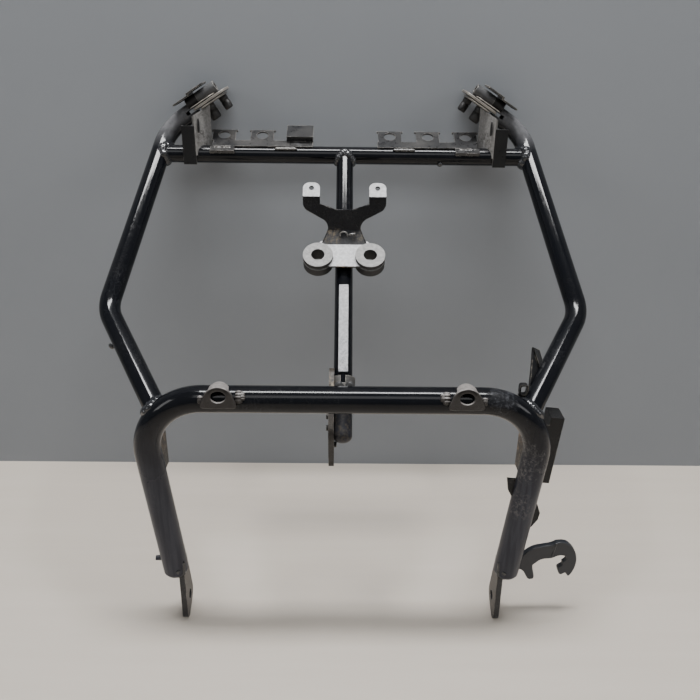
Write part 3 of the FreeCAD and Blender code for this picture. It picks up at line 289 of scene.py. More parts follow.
# Dull steel with dark stains, worn edges, a little rust and dust in patches.
def metalMaterial(name, colour, stain, rust, roughness, bump, metallic, dustColour):
    material, tree, shader, point = newMaterial(name)
    broad = noise(tree, point, 45.0, 7.0, 0.65)
    fine = noise(tree, point, 420.0, 5.0, 0.7)
    stains = mapRange(tree, noise(tree, point, 80.0, 8.0, 0.7, 0.6), 0.44, 0.68)
    cloud = noise(tree, point, 110.0, 8.0, 0.75, 0.4)
    rusty = times(tree, mapRange(tree, cloud, 0.62 - rust * 0.1, 0.72), rust, clamp=True)
    dirt = useGroup(tree, "dustLayer", point, Amount=0.7)
    wear = useGroup(tree, "edgeWear", point, Amount=0.6)
    base = layered(tree, colour, (broad, darker(colour, 0.55)), (stains, stain),
                   (wear, (0.5, 0.47, 0.42)), (rusty, (0.16, 0.08, 0.04)), (dirt, dustColour))
    fill(tree, shader, {
        "Base Color": base, "Roughness": mixFloat(tree, mapRange(tree, fine, 0.3, 0.7), *roughness),
        "Metallic": minus(tree, metallic, plus(tree, dirt, rusty), clamp=True),
        "Normal": roundNormal(tree, plus(tree, fine, times(tree, stains, 0.8)), 0.6, bump)})
    return material


# Rubber or plastic with a fine grain, rubbed edges, dust and, if told, one face that is paler, a
# painted sheen of the light above.
def softMaterial(name, colour, dust, dustColour, roughness, bump, grain,
                 topColour=None, topDirection=None, edgeColour=(0.2, 0.2, 0.2)):
    material, tree, shader, point = newMaterial(name)
    broad = noise(tree, point, 60.0, 6.0, 0.6)
    grains = noise(tree, point, grain, 4.0, 0.6)
    dirt = useGroup(tree, "dustLayer", point, Amount=dust)
    wear = useGroup(tree, "edgeWear", point, Amount=0.5, Break=160.0)
    base = mixColour(tree, broad, colour, darker(colour, 1.7))
    base = mixColour(tree, times(tree, wear, 0.5), base, edgeColour)
    if topColour:
        top = useGroup(tree, "facingMask", point, Direction=topDirection)
        speckle = mapRange(tree, noise(tree, point, 260.0, 6.0, 0.75), 0.3, 0.75)
        tops = mixColour(tree, speckle, darker(topColour, 0.55), topColour)
        base = mixColour(tree, top, base, tops)
    fill(tree, shader, {
        "Base Color": mixColour(tree, dirt, base, dustColour),
        "Roughness": mixFloat(tree, grains, *roughness),
        "Normal": roundNormal(tree, grains, 0.5, bump, 0.0008)})
    return material


# Colours are linear, lengths in metres.  A face has its direction, the cosines where its tint
# begins and is full, its tint and its roughness; a spot has its centre, radius and tint.
framePaint = paintMaterial(
    "framePaint", colour=(0.0032, 0.0036, 0.005), roughness=(0.09, 0.15), scuffs=0.12,
    bareEdges=0.25, dust=0.03, scratches=0.3, bump=0.000014, peel=130.0, specular=0.26,
    lower=dict(heights=(0.14, 0.25), colour=(0.024, 0.0255, 0.036), streak=(0.046, 0.048, 0.061),
               roughness=0.32),
    upper=dict(heights=(0.447, 0.475), direction=(0.0, -0.45, 0.89), turned=(-0.35, 0.5),
               colour=(0.15, 0.15, 0.157), roughness=0.22),
    spots=[((0.153, -0.022, 0.264), 0.02, (0.05, 0.051, 0.058)),
           ((0.17, -0.02, 0.19), 0.034, (0.15, 0.143, 0.14)),
           ((0.176, -0.022, 0.14), 0.022, (0.11, 0.108, 0.11)),
           ((0.0, 0.01, 0.208), 0.03, (0.05, 0.042, 0.034))])
sheetLook = dict(colour=(0.003, 0.0036, 0.0055), roughness=(0.22, 0.36), bareEdges=0.45, dust=0.02,
                 bump=0.00003, peel=260.0, specular=0.3)
# The bracket: its neck faces carry a grey painted sheen, and its shelf and ears a near-white painted
# highlight of the lamp above; the spots are rust.
bracketPaintWithHighlight = paintMaterial(
    "bracketPaintWithHighlight", **sheetLook, scuffs=0.14, bareColour=(0.5, 0.48, 0.45),
    faces=[((0.0, -0.857, 0.514), 0.92, 1.0, (0.13, 0.13, 0.134), 0.3),
           ((0.0, -0.64, 0.768), 0.88, 0.95, (0.66, 0.66, 0.67), 0.4)],
    spots=[((0.0, 0.121, 0.339), 0.012, (0.42, 0.29, 0.15)),
           ((0.017, 0.15, 0.37), 0.011, (0.17, 0.15, 0.12)),
           ((-0.014, 0.15, 0.37), 0.013, (0.2, 0.165, 0.12))])
# The rib's top face carries a near-white painted highlight of the lamp above.
ribPaint = paintMaterial(
    "ribPaint", **sheetLook, scuffs=0.1, bareColour=(0.3, 0.29, 0.27),
    faces=[((0.0, -0.7, 0.72), 0.88, 0.95, (0.62, 0.62, 0.635), 0.34)],
    spots=[((0.0, 0.04, 0.262), 0.022, (0.2, 0.2, 0.215)),
           ((0.004, 0.09, 0.3), 0.014, (0.34, 0.34, 0.36)),
           ((-0.003, 0.06, 0.28), 0.02, (0.3, 0.3, 0.32))])
bracketPaint = paintMaterial(
    "bracketPaint", colour=(0.0045, 0.0048, 0.0058), roughness=(0.26, 0.42), scuffs=0.22,
    bareEdges=0.52, dust=0.12, scratches=0.4, bump=0.00007, specular=0.3,
    bareColour=(0.34, 0.31, 0.26))
stripPaint = paintMaterial(
    "stripPaint", colour=(0.01, 0.01, 0.011), roughness=(0.24, 0.4), bareEdges=0.55, dust=0.3,
    bump=0.00009, specular=0.6, bareColour=(0.42, 0.4, 0.37))
# The gussets' inner webs are paler: worn paint and a painted sheen of the light falling on them.
webTint, webDark, webSpot = (0.33, 0.32, 0.31), (0.06, 0.055, 0.05), (0.09, 0.085, 0.08)
gussetPaint = paintMaterial(
    "gussetPaint", colour=(0.005, 0.0052, 0.006), roughness=(0.26, 0.42), scuffs=0.4,
    bareEdges=0.42, scratches=0.6, bump=0.00009, specular=0.4, bareColour=(0.4, 0.38, 0.35),
    faces=[((0.866, -0.5, 0.0), 0.8, 0.94, webTint, 0.36),
           ((-0.866, -0.5, 0.0), 0.8, 0.94, webTint, 0.36)],
    spots=[((0.166, 0.246, 0.457), 0.016, webDark), ((-0.166, 0.246, 0.457), 0.016, webDark),
           ((0.163, 0.25, 0.492), 0.012, webSpot), ((-0.163, 0.25, 0.492), 0.012, webSpot)])
# The up-turned tops of the tabs are paler: dust and a painted sheen of the lamp above.
tabPaint = paintMaterial(
    "tabPaint", colour=(0.016, 0.0135, 0.012), roughness=(0.35, 0.55), scuffs=0.6, bareEdges=0.1,
    dust=0.3, dustColour=(0.36, 0.33, 0.3), bareColour=(0.42, 0.39, 0.35),
    faces=[((0.0, 0.2, 0.98), 0.3, 0.75, (0.27, 0.25, 0.24), 0.4)])
weldPaint = paintMaterial(
    "weldPaint", colour=(0.012, 0.0128, 0.015), roughness=(0.12, 0.22), bareEdges=0.3,
    scratches=0.1, peel=420.0, specular=0.8)
brightWeld = paintMaterial(
    "brightWeld", colour=(0.05, 0.047, 0.044), roughness=(0.22, 0.36), scuffs=1.0, dust=0.5,
    scratches=0.1, bump=0.00015, peel=520.0, coat=0.3, specular=0.8, dustColour=(0.42, 0.38, 0.32))
legPlatePaint = paintMaterial(
    "legPlatePaint", colour=(0.02, 0.018, 0.016), roughness=(0.35, 0.6), scuffs=0.9, bareEdges=0.6,
    dust=0.8, scratches=0.6, dustColour=(0.25, 0.2, 0.15),
    spots=[((0.178, 0.0, 0.2), 0.035, (0.3, 0.22, 0.15)),
           ((-0.178, 0.0, 0.21), 0.03, (0.24, 0.17, 0.11))])
headPlatePaint = paintMaterial(
    "headPlatePaint", colour=(0.014, 0.0115, 0.0095), roughness=(0.4, 0.65), scuffs=0.6, dust=0.4,
    specular=0.4, dustColour=(0.2, 0.16, 0.12),
    spots=[((-0.011, 0.03, 0.25), 0.014, (0.3, 0.25, 0.18))])
footTint = (0.085, 0.075, 0.068)
footPaint = paintMaterial(
    "footPaint", colour=(0.006, 0.0064, 0.0085), roughness=(0.3, 0.45), bareEdges=0.55, dust=0.15,
    scratches=0.7, bump=0.00008, peel=260.0, dustColour=(0.2, 0.18, 0.155),
    faces=[((1.0, 0.0, 0.0), 0.7, 0.95, footTint, 0.5), ((-1.0, 0.0, 0.0), 0.7, 0.95, footTint, 0.5)])
dustySteel = metalMaterial(
    "dustySteel", colour=(0.4, 0.375, 0.34), stain=(0.12, 0.11, 0.1), rust=0.45,
    roughness=(0.34, 0.6), bump=0.00012, metallic=0.6, dustColour=(0.42, 0.37, 0.31))
sleeveSteel = metalMaterial(
    "sleeveSteel", colour=(0.13, 0.132, 0.136), stain=(0.07, 0.07, 0.073), rust=0.1,
    roughness=(0.4, 0.6), bump=0.00008, metallic=0.4, dustColour=(0.2, 0.195, 0.19))
darkSteel = metalMaterial(
    "darkSteel", colour=(0.05, 0.049, 0.048), stain=(0.012, 0.012, 0.012), rust=0.3,
    roughness=(0.35, 0.6), bump=0.00012, metallic=0.4, dustColour=(0.16, 0.135, 0.11))
greySteel = metalMaterial(
    "greySteel", colour=(0.1, 0.098, 0.095), stain=(0.05, 0.048, 0.046), rust=0.3,
    roughness=(0.35, 0.55), bump=0.0001, metallic=0.3, dustColour=(0.3, 0.27, 0.23))
lobeSteel = metalMaterial(
    "lobeSteel", colour=(0.055, 0.056, 0.058), stain=(0.03, 0.03, 0.031), rust=0.05,
    roughness=(0.35, 0.5), bump=0.00008, metallic=0.3, dustColour=(0.12, 0.12, 0.12))
# The grommets' pale tops are painted sheen of the lamp above.
grommetRubber = softMaterial(
    "grommetRubber", colour=(0.01, 0.01, 0.0105), dust=0.2, dustColour=(0.3, 0.29, 0.28),
    roughness=(0.5, 0.75), bump=0.00015, grain=900.0, topColour=(0.42, 0.415, 0.405),
    topDirection=(0.0, -0.574, 0.819), edgeColour=(0.4, 0.4, 0.39))
# Black rubber of the mirror bushes; the same dark finish is the painted shade in the gusset slots.
blackRubberAndShade = softMaterial(
    "blackRubberAndShade", colour=(0.006, 0.006, 0.0065), dust=0.15, dustColour=(0.2, 0.19, 0.18),
    roughness=(0.4, 0.65), bump=0.0001, grain=900.0)
clipPlastic = softMaterial(
    "clipPlastic", colour=(0.013, 0.015, 0.02), dust=0.15, dustColour=(0.2, 0.2, 0.2),
    roughness=(0.3, 0.45), bump=0.00008, grain=1300.0)

# The solids that show, by finish; a star stands for left and right.
finishes = {
    framePaint: "lower_hoop *_side_tube upper_cross_tube centre_tube *_leg_cap left_leg_stud",
    footPaint: "*_foot_plate",
    stripPaint: "*_panel_strip *_strip_support",
    gussetPaint: "*_corner_gusset",
    bracketPaint: "right_outer_bracket right_inner_tab right_outer_tab",
    bracketPaintWithHighlight: "instrument_bracket",
    ribPaint: "centre_rib",
    legPlatePaint: "*_leg_plate",
    headPlatePaint: "head_plate",
    greySteel: "head_saddle",
    sleeveSteel: "*_mirror_sleeve",
    darkSteel: "*_mirror_cover head_pins",
    grommetRubber: "*_grommet",
    blackRubberAndShade: "*_mirror_bush",
}
for material, names in finishes.items():
    for name in [name.replace("*", side) for name in names.split() for side in ("left", "right")]:
        mesh = nodes[name].data
        mesh.materials.clear()
        mesh.materials.append(material)
print("materials made")


# Mesh helpers.  Lengths below are millimetres, and meshes are written in metres.

toRight, toBack, upwards = np.eye(3)
sides = (("left", -1), ("right", 1))


def addObject(name, data):
    item = bpy.data.objects.new(name, data)
    bpy.context.scene.collection.objects.link(item)
    return item


def unit(vectors):
    vectors = np.asarray(vectors, float)
    return vectors / np.linalg.norm(vectors, axis=-1, keepdims=True)


# Cosine and sine of evenly spaced angles round a whole turn.
def circle(count):
    turn = np.linspace(0, 2 * math.pi, count, endpoint=False)
    return np.stack([np.cos(turn), np.sin(turn)], axis=1)


# A superellipse: sign(x)|x|^power of each coordinate of a circle; a low power makes it squarer.
def squarer(points, power):
    return np.sign(points) * np.abs(points) ** np.asarray(power)


# A grid of points becomes quads; its columns close on themselves, and its ends get one face each.
def gridFaces(rows, columns, closeRows=False):
    index = np.arange(rows * columns).reshape(rows, columns)
    if closeRows:
        index = np.vstack([index, index[:1]])
    side = np.roll(index, -1, axis=1)
    quads = np.stack([index[:-1], side[:-1], side[1:], index[1:]], axis=-1).reshape(-1, 4)
    ends = [] if closeRows else [index[0][::-1].tolist(), index[-1].tolist()]
    return quads.tolist() + ends


# Six times the signed volume of a closed grid tells which way its faces point.
def facesPointIn(points, faces):
    quads = np.array([face for face in faces if len(face) == 4])
    corners = points[quads] - points.mean(axis=0)
    first, second, third, fourth = corners.transpose(1, 0, 2)
    return np.sum(first * (np.cross(second, third) + np.cross(third, fourth))) < 0


# One object from closed grids, each a pair of its points and whether its rows close too.
def makePiece(name, grids, material, smooth=True, replaces=()):
    points = []
    faces = []
    total = 0
    for grid, closeRows in grids:
        flat = grid.reshape(-1, 3)
        new = gridFaces(*grid.shape[:2], closeRows)
        if facesPointIn(flat, new):
            new = [face[::-1] for face in new]
        faces += [[corner + total for corner in face] for face in new]
        points.append(flat)
        total += len(flat)
    mesh = bpy.data.meshes.new(name)
    mesh.from_pydata((np.vstack(points) * mm).tolist(), [], faces)
    mesh.polygons.foreach_set("use_smooth", np.full(len(faces), smooth))
    mesh.materials.append(material)
    mesh.update()
    piece = addObject(name, mesh)
    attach(piece, "root")
    if replaces:
        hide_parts(*replaces)


# The tubes' axes and radii, as the solids have them.
tubes = dict(
    hoopRadius=13.3, hoopForward=13.0, hoopHeight=255.0, hoopCorner=198.0, hoopBend=58.0,
    legEnd=(178.6, -8.5, 44.0), sideRadius=11.0, sideBend=(250.6, 94.5, 304.0),
    sideTop=(211.5, 275.5, 466.0), crossRadius=10.0, crossBack=247.5, centreRadius=9.75,
    centreSlope=44.6, centreLength=340.0,
)


# A point of the right side, or its mirror image on the left.
def onSide(sign, point):
    return np.array([sign * point[0], point[1], point[2]])


# Middle of a hoop bend on its axis, the middle of the bend's circle, and the axis of that circle.
def hoopCorner(sign):
    corner = onSide(sign, (tubes["hoopCorner"], -tubes["hoopForward"], tubes["hoopHeight"]))
    down = unit(onSide(sign, tubes["legEnd"]) - corner)
    inward = -sign * toRight
    half = math.acos(float(down @ inward)) / 2
    towards = unit(down + inward)
    reach = tubes["hoopBend"] / math.sin(half)
    middle = corner + towards * (reach - tubes["hoopBend"])
    return middle, corner + towards * reach, unit(np.cross(down, inward))


# The cross tube meets the side tubes where their axes come as far back as it.
sideBend, sideTop = np.array(tubes["sideBend"]), np.array(tubes["sideTop"])
crossShare = (tubes["crossBack"] - sideBend[1]) / (sideTop[1] - sideBend[1])
crossHalf, crossBack, crossHeight = sideBend + crossShare * (sideTop - sideBend)
crossLine = crossBack * toBack + crossHeight * upwards
centreSlope = math.radians(tubes["centreSlope"])
centreDown = -math.cos(centreSlope) * toBack - math.sin(centreSlope) * upwards
centreCrown = -math.sin(centreSlope) * toBack + math.cos(centreSlope) * upwards
centreEnd = crossLine + centreDown * tubes["centreLength"]


# Shortest way from a straight axis to each point: what is left without the part along the axis.
def fromLine(points, origin, direction):
    away = points - origin
    return away - (away @ direction)[..., None] * direction


# Shortest way from a bend's circular axis to each point.
def fromBend(points, centre, axis, radius):
    away = points - centre
    flat = away - (away @ axis)[..., None] * axis
    return away - unit(flat) * radius


# Where a round branch meets a round main tube: each line along the branch's wall is followed, by
# halving, to where it is the main tube's radius from the main axis.
def saddlePath(start, direction, radius, away, mainRadius):
    turn = circle(160)
    first = unit(np.cross(direction, upwards))
    second = np.cross(direction, first)
    out = turn[:, :1] * first + turn[:, 1:] * second
    base = start + out * radius
    near = np.zeros(len(base))
    far = np.full(len(base), 60.0)
    for step in range(40):
        middle = (near + far) / 2
        inside = np.linalg.norm(away(base + middle[:, None] * direction), axis=1) < mainRadius
        near = np.where(inside, middle, near)
        far = np.where(inside, far, middle)
    path = base + far[:, None] * direction
    return path, unit(out + unit(away(path)))


# Points at even steps along a line of points, with how far along it each is and its length.
def evenly(path, outward, step, closed):
    if closed:
        path = np.vstack([path, path[:1]])
        outward = np.vstack([outward, outward[:1]])
    run = np.concatenate([[0], np.cumsum(np.linalg.norm(np.diff(path, axis=0), axis=1))])
    count = max(8, int(run[-1] / step))
    at = np.linspace(0, run[-1], count, endpoint=not closed)
    path, outward = (np.stack([np.interp(at, run, axis) for axis in line.T], axis=1)
                     for line in (path, outward))
    return path, unit(outward), at, run[-1]


beadLook = dict(
    step=0.34, columns=14, wide=1.1, high=0.78, sideRipple=0.07, topRipple=0.16, curve=0.7,
    crescent=0.55, wander=0.16, wave=9, endPower=9, endSize=0.02,
)


# A weld bead: an oval carried along the path.  Its height rises and falls once a pitch in crescents
# (|sin| of the run, bent back at the bead's sides), the whole wanders a little, and an open bead
# narrows at its ends.
def weldBead(path, outward, size, seed, pitch=3.4, closed=False):
    path, outward, at, length = evenly(path, outward, beadLook["step"], closed)
    ahead = np.roll(path, -1, axis=0) - np.roll(path, 1, axis=0)
    if not closed:
        ahead[0] = path[1] - path[0]
        ahead[-1] = path[-1] - path[-2]
    across = unit(np.cross(unit(ahead), outward))
    random = np.random.default_rng(seed)
    waves = max(3, int(length / beadLook["wave"]))
    phase = random.uniform(0, 2 * math.pi, 3)
    wander = sum(np.sin(2 * math.pi * at / length * (waves + k) + phase[k]) for k in range(3)) / 3
    steps = max(1, round(length / pitch))
    around = np.linspace(0, 2 * math.pi, beadLook["columns"], endpoint=False)[None, :]
    bent = at[:, None] / length * steps - beadLook["crescent"] * (1 - np.abs(np.sin(around)))
    dip = 1 - np.abs(np.sin(math.pi * bent)) ** beadLook["curve"]
    jitter = size * (1 + beadLook["wander"] * wander[:, None])
    if not closed:
        ends = 1 - np.abs(2 * at / length - 1) ** beadLook["endPower"]
        jitter = jitter * np.clip(ends, beadLook["endSize"], 1)[:, None] ** 0.5
    wide = beadLook["wide"] * jitter * (1 - beadLook["sideRipple"] * dip)
    high = beadLook["high"] * jitter * (1 - beadLook["topRipple"] * dip)
    grid = path[:, None, :] + across[:, None, :] * (wide * np.cos(around))[..., None]
    return grid + outward[:, None, :] * (high * np.sin(around))[..., None], closed


# A bead on a straight line that may bow outward by half a sine.
def straightBead(start, end, outward, size, seed, bow=0.0):
    start, end, outward = np.array([start, end, outward], float)
    share = np.linspace(0, 1, 40)[:, None]
    path = start + (end - start) * share + outward * bow * np.sin(math.pi * share)
    return weldBead(path, np.tile(unit(outward), (40, 1)), size, seed)


# An arc of weld round a tube's outside, between two angles measured from the first direction.
def arcBead(centre, first, second, radius, angles, size, seed, pitch=3.4):
    turn = np.radians(np.linspace(*angles, 60))
    out = np.cos(turn)[:, None] * np.asarray(first) + np.sin(turn)[:, None] * np.asarray(second)
    return weldBead(np.asarray(centre) + out * radius, out, size, seed, pitch)


tubeWelds = dict(hoopSize=4.6, crossSize=4.9, crossPitch=5.5, centreSize=4.2)
for side, sign in sides:
    corner, centre, axis = hoopCorner(sign)
    bend = onSide(sign, tubes["sideBend"])
    top = onSide(sign, tubes["sideTop"])
    path, outward = saddlePath(
        corner, unit(bend - corner), tubes["sideRadius"],
        lambda points: fromBend(points, centre, axis, tubes["hoopBend"]), tubes["hoopRadius"])
    bead = weldBead(path, outward, tubeWelds["hoopSize"], 3 + sign, closed=True)
    makePiece(f"{side}LowerBead", [bead], weldPaint, replaces=[f"{side}_lower_weld"])
    path, outward = saddlePath(
        crossLine + sign * crossHalf * toRight, -sign * toRight, tubes["crossRadius"],
        lambda points: fromLine(points, bend, unit(top - bend)), tubes["sideRadius"])
    bead = weldBead(path, outward, tubeWelds["crossSize"], 7 + sign, tubeWelds["crossPitch"], True)
    makePiece(f"{side}UpperBead", [bead], weldPaint, replaces=[f"{side}_upper_weld"])
path, outward = saddlePath(
    crossLine, centreDown, tubes["centreRadius"],
    lambda points: fromLine(points, crossLine, toRight), tubes["crossRadius"])
bead = weldBead(path, outward, tubeWelds["centreSize"], 12, closed=True)
makePiece("centreBead", [bead], weldPaint, replaces=["centre_weld"])
print("tube welds made")


# A closed half ball, stretched along three directions; a low lift keeps its flanks steep.
def dome(centre, axes, lift=1.0, rows=14, columns=36):
    rise = np.linspace(-0.25, math.pi / 2 - 0.02, rows)[:, None]
    turn = np.linspace(0, 2 * math.pi, columns, endpoint=False)[None, :]
    first, second, third = (np.asarray(axis, float) for axis in axes)
    ring = np.cos(rise) ** lift
    grid = (ring * np.cos(turn))[..., None] * first + (ring * np.sin(turn))[..., None] * second
    return np.asarray(centre) + grid + (np.sin(rise) * np.ones_like(turn))[..., None] * third, False


# Arched tabs of the hoop: a face round the hole, and a flange that follows the arch and leans back.
hoopTab = dict(
    centre=(116.0, -29.2, 265.5), lean=12.0, halfBase=18.6, halfTop=10.5, bottom=11.4, top=9.4,
    thickness=2.4, hole=(6.9, 5.2), basePower=0.28, archPower=0.75, widening=0.85, holeRim=0.7,
    outerRim=0.8, flangeDepth=12.5, flangeRise=0.16, flangeShare=0.62, archWidth=0.93,
    archFoot=0.1, archCurve=1.4, archFit=0.98,
    # The flange's rows: share of its depth, share of its width, and how far below the arch.
    flangeRows=((0.0, 1.0, 0.0), (0.35, 0.99, 0.0), (0.8, 0.93, 0.4), (1.0, 0.85, 1.6),
                (1.0, 0.8, 3.2), (0.8, 0.86, 2.4), (0.35, 0.88, 2.2), (0.0, 0.88, 2.2)),
)


# The face's outline is a superellipse widened towards its base; the hole is an ellipse.
def tabFace(middle, up, back):
    turn = circle(120)
    low = turn[:, 1:] < 0
    flat = squarer(turn, np.where(low, hoopTab["basePower"], hoopTab["archPower"]))
    height = np.where(flat[:, 1] < 0, flat[:, 1] * hoopTab["bottom"], flat[:, 1] * hoopTab["top"])
    level = np.clip((height + hoopTab["bottom"]) / (hoopTab["top"] + hoopTab["bottom"]), 0, 1)
    narrowing = (hoopTab["halfTop"] - hoopTab["halfBase"]) * level ** hoopTab["widening"]
    outer = np.stack([flat[:, 0] * (hoopTab["halfBase"] + narrowing), height], axis=1)
    inner = turn * np.array(hoopTab["hole"])
    deep, holeRim, outerRim = (hoopTab[key] for key in ("thickness", "holeRim", "outerRim"))
    columns = []
    for edge, at, grow in ((inner, 0.0, holeRim), (inner, holeRim, 0.0), (inner, deep, 0.0),
                           (outer, deep, 0.0), (outer, outerRim, 0.0), (outer, 0.0, -outerRim)):
        edge = edge * (1 + grow / np.linalg.norm(edge, axis=1, keepdims=True))
        columns.append(middle + edge[:, :1] * toRight + edge[:, 1:] * up + back * at)
    return np.stack(columns, axis=1), True


# The flange is the outline's upper part, carried back and up, with the sheet's thickness inward.
def tabFlange(middle, up):
    share = hoopTab["flangeShare"]
    angles = np.linspace(math.pi * (1 - share) / 2, math.pi * (1 + share) / 2, 60)
    archX = np.cos(angles) * hoopTab["halfTop"] / math.cos(angles[0]) * hoopTab["archWidth"]
    arch = hoopTab["archFoot"] + (1 - hoopTab["archFoot"]) * np.sin(angles) ** hoopTab["archCurve"]
    archY = hoopTab["top"] * arch * hoopTab["archFit"]
    carry = unit(toBack + hoopTab["flangeRise"] * upwards) * hoopTab["flangeDepth"]
    columns = []
    for part, shrink, drop in hoopTab["flangeRows"]:
        flat = middle + (archX * shrink)[:, None] * toRight + (archY - drop)[:, None] * up
        columns.append(flat + carry * part)
    return np.stack(columns, axis=1), False


lean = math.radians(hoopTab["lean"])
up = math.sin(lean) * toBack + math.cos(lean) * upwards
back = math.cos(lean) * toBack - math.sin(lean) * upwards
for side, sign in sides:
    middle = onSide(sign, hoopTab["centre"])
    makePiece(f"{side}HoopTab", [tabFace(middle, up, back), tabFlange(middle, up)],
              tabPaint, smooth=False, replaces=[f"{side}_hoop_tab"])
print("hoop tabs made")

# The plate behind the right corner, its folded edge, and the small loop and its lip beside it.
rearPlate = dict(
    corners=[(191.2, 42.0, 286.8), (200.5, 34.0, 263.2), (198.7, 26.0, 253.7), (192.1, 12.0, 246.3),
             (182.2, 8.0, 246.2), (183.9, 12.0, 256.4), (187.7, 26.0, 269.3)], thickness=2.4,
    edge=[(190.6, 40.0, 287.9), (197.9, 42.0, 284.1), (203.8, 34.0, 267.4), (199.2, 30.0, 265.6)],
    edgeThickness=2.0, loopCentre=(176.6, 2.5, 258.2), loopHalf=(2.9, 4.6), loopWall=1.4,
    loopDepth=6.0, loopPower=0.5,
    lip=[(172.0, 6.5, 252.5), (186.5, 9.0, 252.5), (187.5, 9.0, 245.0), (175.0, 6.5, 245.0)],
    lipThickness=2.5,
)


# A flat sheet through its corners: the loop of corners, shifted both ways along the loop's normal.
def sheet(corners, thickness):
    corners = np.asarray(corners, float)
    middle = corners.mean(axis=0)
    normal = unit(np.linalg.svd(corners - middle)[2][2]) * thickness / 2
    smaller = middle + (corners - middle) * 0.985
    rows = [smaller - normal, corners - normal * 0.7, corners + normal * 0.7, smaller + normal]
    return np.stack(rows), False


square = squarer(circle(48), rearPlate["loopPower"])
columns = []
for grow, deep in ((1.0, 0.0), (1.0, 1.0), (0.0, 1.0), (0.0, 0.0)):
    flat = square * (np.array(rearPlate["loopHalf"]) + grow * rearPlate["loopWall"])
    depth = np.full(len(flat), deep * rearPlate["loopDepth"])
    ring = np.stack([flat[:, 0], depth, flat[:, 1]], axis=1)
    columns.append(np.array(rearPlate["loopCentre"]) + ring)
rearGrids = [sheet(rearPlate["corners"], rearPlate["thickness"]),
             sheet(rearPlate["edge"], rearPlate["edgeThickness"]), (np.stack(columns, axis=1), True),
             sheet(rearPlate["lip"], rearPlate["lipThickness"])]
makePiece("rightRearPlate", rearGrids, bracketPaint, smooth=False,
          replaces=["right_rear_bracket"])
print("rear bracket made")

# The hose clip: strap, hook and foot as one outline in X and Z, and a raised rib across the strap.
hoseClip = dict(
    outline=[(182.4, 50.0), (193.0, 52.0), (200.5, 62.5), (208.0, 68.0), (218.5, 70.5), (226.0, 72.0),
             (229.0, 73.5), (232.0, 75.5), (238.5, 76.2), (244.0, 74.5), (250.5, 68.5), (255.0, 60.5),
             (257.0, 50.0), (256.0, 40.0), (253.5, 32.5), (250.5, 28.5), (248.5, 31.0), (246.5, 34.0),
             (242.5, 31.0), (239.5, 32.0), (236.8, 40.0), (239.5, 43.0), (242.0, 44.5), (241.5, 48.5),
             (244.0, 50.0), (246.0, 54.0), (244.0, 57.0), (239.0, 58.0), (234.5, 57.0), (230.5, 54.5),
             (226.5, 53.5), (220.5, 53.0), (215.5, 51.0), (211.5, 46.5), (208.5, 44.0), (213.5, 25.0),
             (206.0, 23.6), (200.0, 36.0), (193.0, 39.5), (182.4, 40.5)],
    front=0.7, depth=6.4, drop=2.2, aside=1.6, rim=0.7,
    ribFoot=(228.5, 56.5), ribTop=(231.2, 74.6), ribHalf=(0.9, -0.1), ribStep=0.6, ribRim=0.3,
)


# Corner cutting: each corner gives way to two points a fifth of the way along its sides.
def smoothed(outline, passes=2):
    outline = np.asarray(outline, float)
    for step in range(passes):
        after = np.roll(outline, -1, axis=0)
        outline = np.stack([outline * 0.8 + after * 0.2, outline * 0.2 + after * 0.8], axis=1)
        outline = outline.reshape(-1, 2)
    return outline


# A flat outline given depth: its front and back rims are drawn in a little to break the edge.
def onClip(outline, front, rim):
    after, before = np.roll(outline, -1, axis=0), np.roll(outline, 1, axis=0)
    ahead = after - before
    area = np.sum(outline[:, 0] * after[:, 1] - after[:, 0] * outline[:, 1])
    inward = unit(np.stack([-ahead[:, 1], ahead[:, 0]], axis=1)) * math.copysign(1.0, area)
    depth = hoseClip["depth"]
    rows = []
    for inset, deep in ((rim, 0.0), (0.0, rim), (0.0, depth - rim), (rim, depth)):
        flat = outline + inward * inset + np.array([hoseClip["aside"], -hoseClip["drop"]])
        rows.append(np.stack([flat[:, 0], np.full(len(flat), front + deep), flat[:, 1]], axis=1))
    return np.stack(rows), False


ribFoot, ribTop, ribHalf = (np.array(hoseClip[key]) for key in ("ribFoot", "ribTop", "ribHalf"))
ribOutline = np.array([ribFoot - ribHalf, ribFoot + ribHalf, ribTop + ribHalf, ribTop - ribHalf])
clipGrids = [onClip(smoothed(hoseClip["outline"]), hoseClip["front"], hoseClip["rim"]),
             onClip(ribOutline, hoseClip["front"] - hoseClip["ribStep"], hoseClip["ribRim"])]
makePiece("hoseClipBody", clipGrids, clipPlastic, smooth=False,
          replaces=["hose_clip"])
print("hose clip made")

# Domes: the two lobes of the head saddle, the closed end of the centre tube and two grinding nubs.
smallForms = dict(
    lobeCentre=(1.6, 28.4, 246.4), lobeApart=5.4, lobeLift=0.8,
    lobeHalf=((5.2, 0, 0), (0, 0.5, 7.2), (0, -3.4, 0.8)),
    endDepth=6.5, endSink=0.3, endGap=0.1, nubRadius=3.4, nubHeight=2.6,
    nubs=(((112.0, 240.5, 433.0), (0.0, -0.6, -0.8)), ((-240.4, 62.5, 275.0), (-0.6, -0.7, -0.35))),
)
lobes = []
for aside in (-smallForms["lobeApart"], smallForms["lobeApart"]):
    centre = np.array(smallForms["lobeCentre"]) + aside * toRight
    lobes.append(dome(centre, smallForms["lobeHalf"], smallForms["lobeLift"]))
makePiece("saddleLobes", lobes, lobeSteel)
endRadius = tubes["centreRadius"] - smallForms["endGap"]
endAxes = (endRadius * toRight, centreCrown * endRadius, centreDown * smallForms["endDepth"])
endDome = dome(centreEnd - centreDown * smallForms["endSink"], endAxes, rows=16, columns=48)
makePiece("centreTubeEnd", [endDome], framePaint)
nubs = []
for place, outward in smallForms["nubs"]:
    outward = unit(np.array(outward))
    first = unit(np.cross(outward, upwards)) * smallForms["nubRadius"]
    nubs.append(dome(place, (first, np.cross(outward, first), outward * smallForms["nubHeight"])))
makePiece("tubeNubs", nubs, weldPaint)

